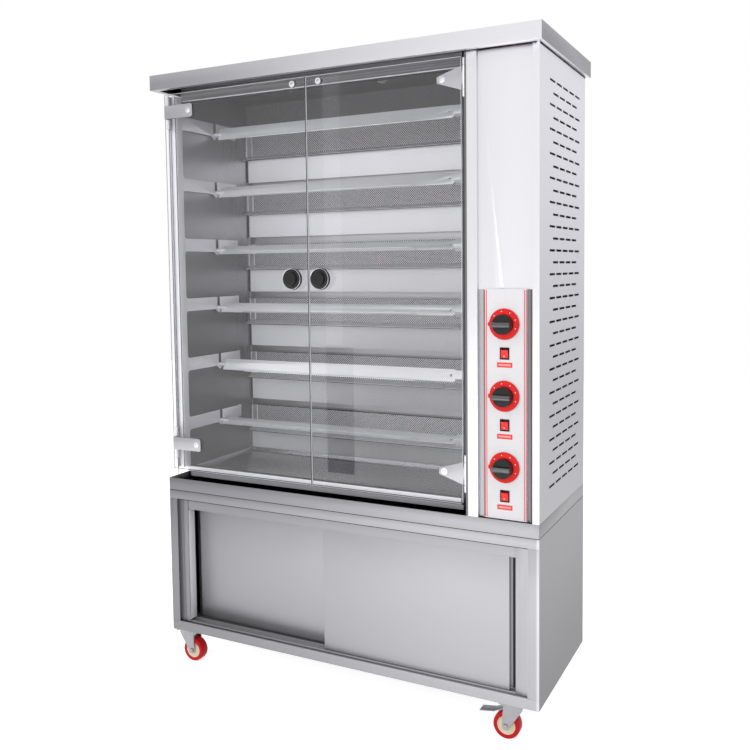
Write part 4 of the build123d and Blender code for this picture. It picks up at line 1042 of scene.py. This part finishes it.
def makePanelFittings(settings):
    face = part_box("control_panel")[0].y
    ring, rim = settings["ring"], settings["rim"] * mm
    halfX, halfZ = settings["width"] / 2 * mm, settings["height"] / 2 * mm
    inX, inZ = halfX - 1.2 * mm, halfZ - 1.2 * mm
    rings, bezels = bmesh.new(), bmesh.new()
    for index in range(3):
        low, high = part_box(f"knob_{index + 1}")
        x, z = (low.x + high.x) / 2, (low.z + high.z) / 2
        spun(rings, [(6.2, 0), (ring, 0), (ring, 1.4), (ring - 0.8, 2.0), (6.2, 2.0), (6.2, 0)],
             (x, face, z), (0, -1, 0), 72)
        z -= settings["below"] * mm
        sides = (
            ((-halfX, halfZ - rim), (halfX, halfZ)),
            ((-halfX, -halfZ), (halfX, -halfZ + rim)),
            ((-halfX, -halfZ + rim * 0.8), (-halfX + rim, halfZ - rim * 0.8)),
            ((halfX - rim, -halfZ + rim * 0.8), (halfX, halfZ - rim * 0.8)),
        )
        for (left, bottom), (right, top) in sides:
            slab(bezels, (x + left, face - 2.0 * mm, z + bottom),
                 (x + right, face + 0.2 * mm, z + top), 0.6, 3)
        slab(bezels, (x - inX, face + 8 * mm, z - inZ), (x + inX, face + 24 * mm, z + inZ), 0.5, 2)
    finishPiece("knobRings", rings, "cabinet", "chrome", ("panel_fittings",))
    finishPiece("switchBezels", bezels, "cabinet", "blackGloss")
    tilt = Vector((0, -1.0, -0.11)).normalized()
    for index in range(3):
        name = f"switch_{index + 1}"
        softened(name, name, "rockerRed", "switch_red", 0.6, 3)
        low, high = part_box(name)
        place = ((low.x + high.x) / 2, low.y + 1.0 * mm, low.z + 5.4 * mm)
        bm = bmesh.new()
        spun(bm, [(0, -0.6), (1.7, -0.6), (1.7, 0.25), (1.3, 0.4), (0, 0.4)], place, tilt, 16)
        finishPiece(f"switchDot.{index + 1}", bm, name, "dotYellow")


makePanelFittings(switchParts)

# Red double lines and bare labels on the panel
panelMarks = {
    "lines": ((453.8, 2.0), (458.6, 1.8), (559.2, 1.8), (563.6, 2.0)),
    "labelSize": (41.0, 13.0),
    "labelBelow": 105.0,
}


def makePanelMarks(settings):
    low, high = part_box("control_panel")
    bm = bmesh.new()
    for x, width in settings["lines"]:
        slab(bm, (x * mm, low.y - 0.35 * mm, low.z + 2 * mm),
             ((x + width) * mm, low.y + 0.1 * mm, high.z - 2 * mm), 0.05, 1)
    finishPiece("panelLines", bm, "cabinet", "lineRed")
    labels, insets = bmesh.new(), bmesh.new()
    for index in range(3):
        lowKnob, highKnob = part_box(f"knob_{index + 1}")
        x = (lowKnob.x + highKnob.x) / 2
        z = (lowKnob.z + highKnob.z) / 2 - settings["labelBelow"] * mm
        halfX, halfZ = (size / 2 * mm for size in settings["labelSize"])
        slab(labels, (x - halfX, low.y - 0.5 * mm, z - halfZ),
             (x + halfX, low.y + 0.1 * mm, z + halfZ), 0.4, 2)
        slab(insets, (x - halfX * 0.8, low.y - 0.62 * mm, z - halfZ * 0.36),
             (x + halfX * 0.8, low.y - 0.4 * mm, z + halfZ * 0.36), 0.1, 1)
    finishPiece("labelPlates", labels, "cabinet", "labelRed")
    finishPiece("labelInsets", insets, "cabinet", "labelPale")


makePanelMarks(panelMarks)
print("control panel made")

# Ceiling lamps: a bright dish and a domed glass cover
lampParts = {"radius": 19.0, "glass": 15.0, "drop": 12.0}


def makeLamps(settings):
    low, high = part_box("oven_lamps")
    radius, glass = settings["radius"], settings["glass"]
    inset = radius * mm
    dishes, covers = bmesh.new(), bmesh.new()
    for x, y in ((low.x + inset, low.y + inset), (high.x - inset, high.y - inset)):
        centre = (x, y, high.z)
        spun(dishes, [(0, 0.2), (radius, 0.2), (radius, 3.6), (radius - 1.2, 5.0),
                      (glass + 0.4, 5.0), (glass + 0.2, 3.0), (0, 3.0)], centre, (0, 0, -1), 48)
        spun(covers, [(0, 3.2), (glass, 3.2), (glass, 6.6), (glass * 0.86, 9.4),
                      (glass * 0.55, 11.3), (0, settings["drop"])], centre, (0, 0, -1), 48)
    finishPiece("lampDishes", dishes, "cabinet", "chrome", ("oven_lamps",))
    finishPiece("lampCovers", covers, "cabinet", "lampGlass")


makeLamps(lampParts)

# Castors: red tyre, cream centre, and the fork, plate and brake of pressed sheet
castorParts = {"radius": 37.0, "width": 32.0, "hub": 25.0}


def makeCastors(settings):
    half, radius, hub = settings["width"] / 2, settings["radius"], settings["hub"]
    # Half profiles, from one face to the middle, are mirrored to the other face
    tyre = [(hub, -half + 2.5), (hub + 1.0, -half + 0.6), (radius - 4.5, -half),
            (radius - 1.6, -half + 1.6), (radius - 0.4, -half + 5.0)]
    centrePiece = [(5.1, -half + 1.0), (9.0, -half + 1.0), (9.6, -half + 4.0),
                   (hub - 4.0, -half + 5.0), (hub - 1.0, -half + 2.4), (hub, -half + 2.2)]
    tyre += [(radius, 0)] + [(out, -side) for out, side in reversed(tyre)] + tyre[:1]
    centrePiece += [(out, -side) for out, side in reversed(centrePiece)] + centrePiece[:1]
    for place in ("front_left", "front_right", "rear_left", "rear_right"):
        low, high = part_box(f"castor_wheel_{place}")
        centre = (low + high) / 2
        bm = bmesh.new()
        spun(bm, tyre, centre, (0, 1, 0), 72)
        finishPiece(f"tyre.{place}", bm, f"wheel_{place}", "tyreRed",
                    (f"castor_wheel_{place}",))
        bm = bmesh.new()
        spun(bm, centrePiece, centre, (0, 1, 0), 48)
        finishPiece(f"hub.{place}", bm, f"wheel_{place}", "hubCream")
        softened(f"castor_fork_{place}", f"swivel_{place}", "zinc", "zinc_plate", 0.5)
        if place.endswith("right"):
            softened(f"castor_brake_{place}", f"brake_{place}", "zinc", "zinc_plate", 0.6)
    softened("castor_plates", "cabinet", "zinc", "zinc_plate", 0.4)


makeCastors(castorParts)
print("castors made")
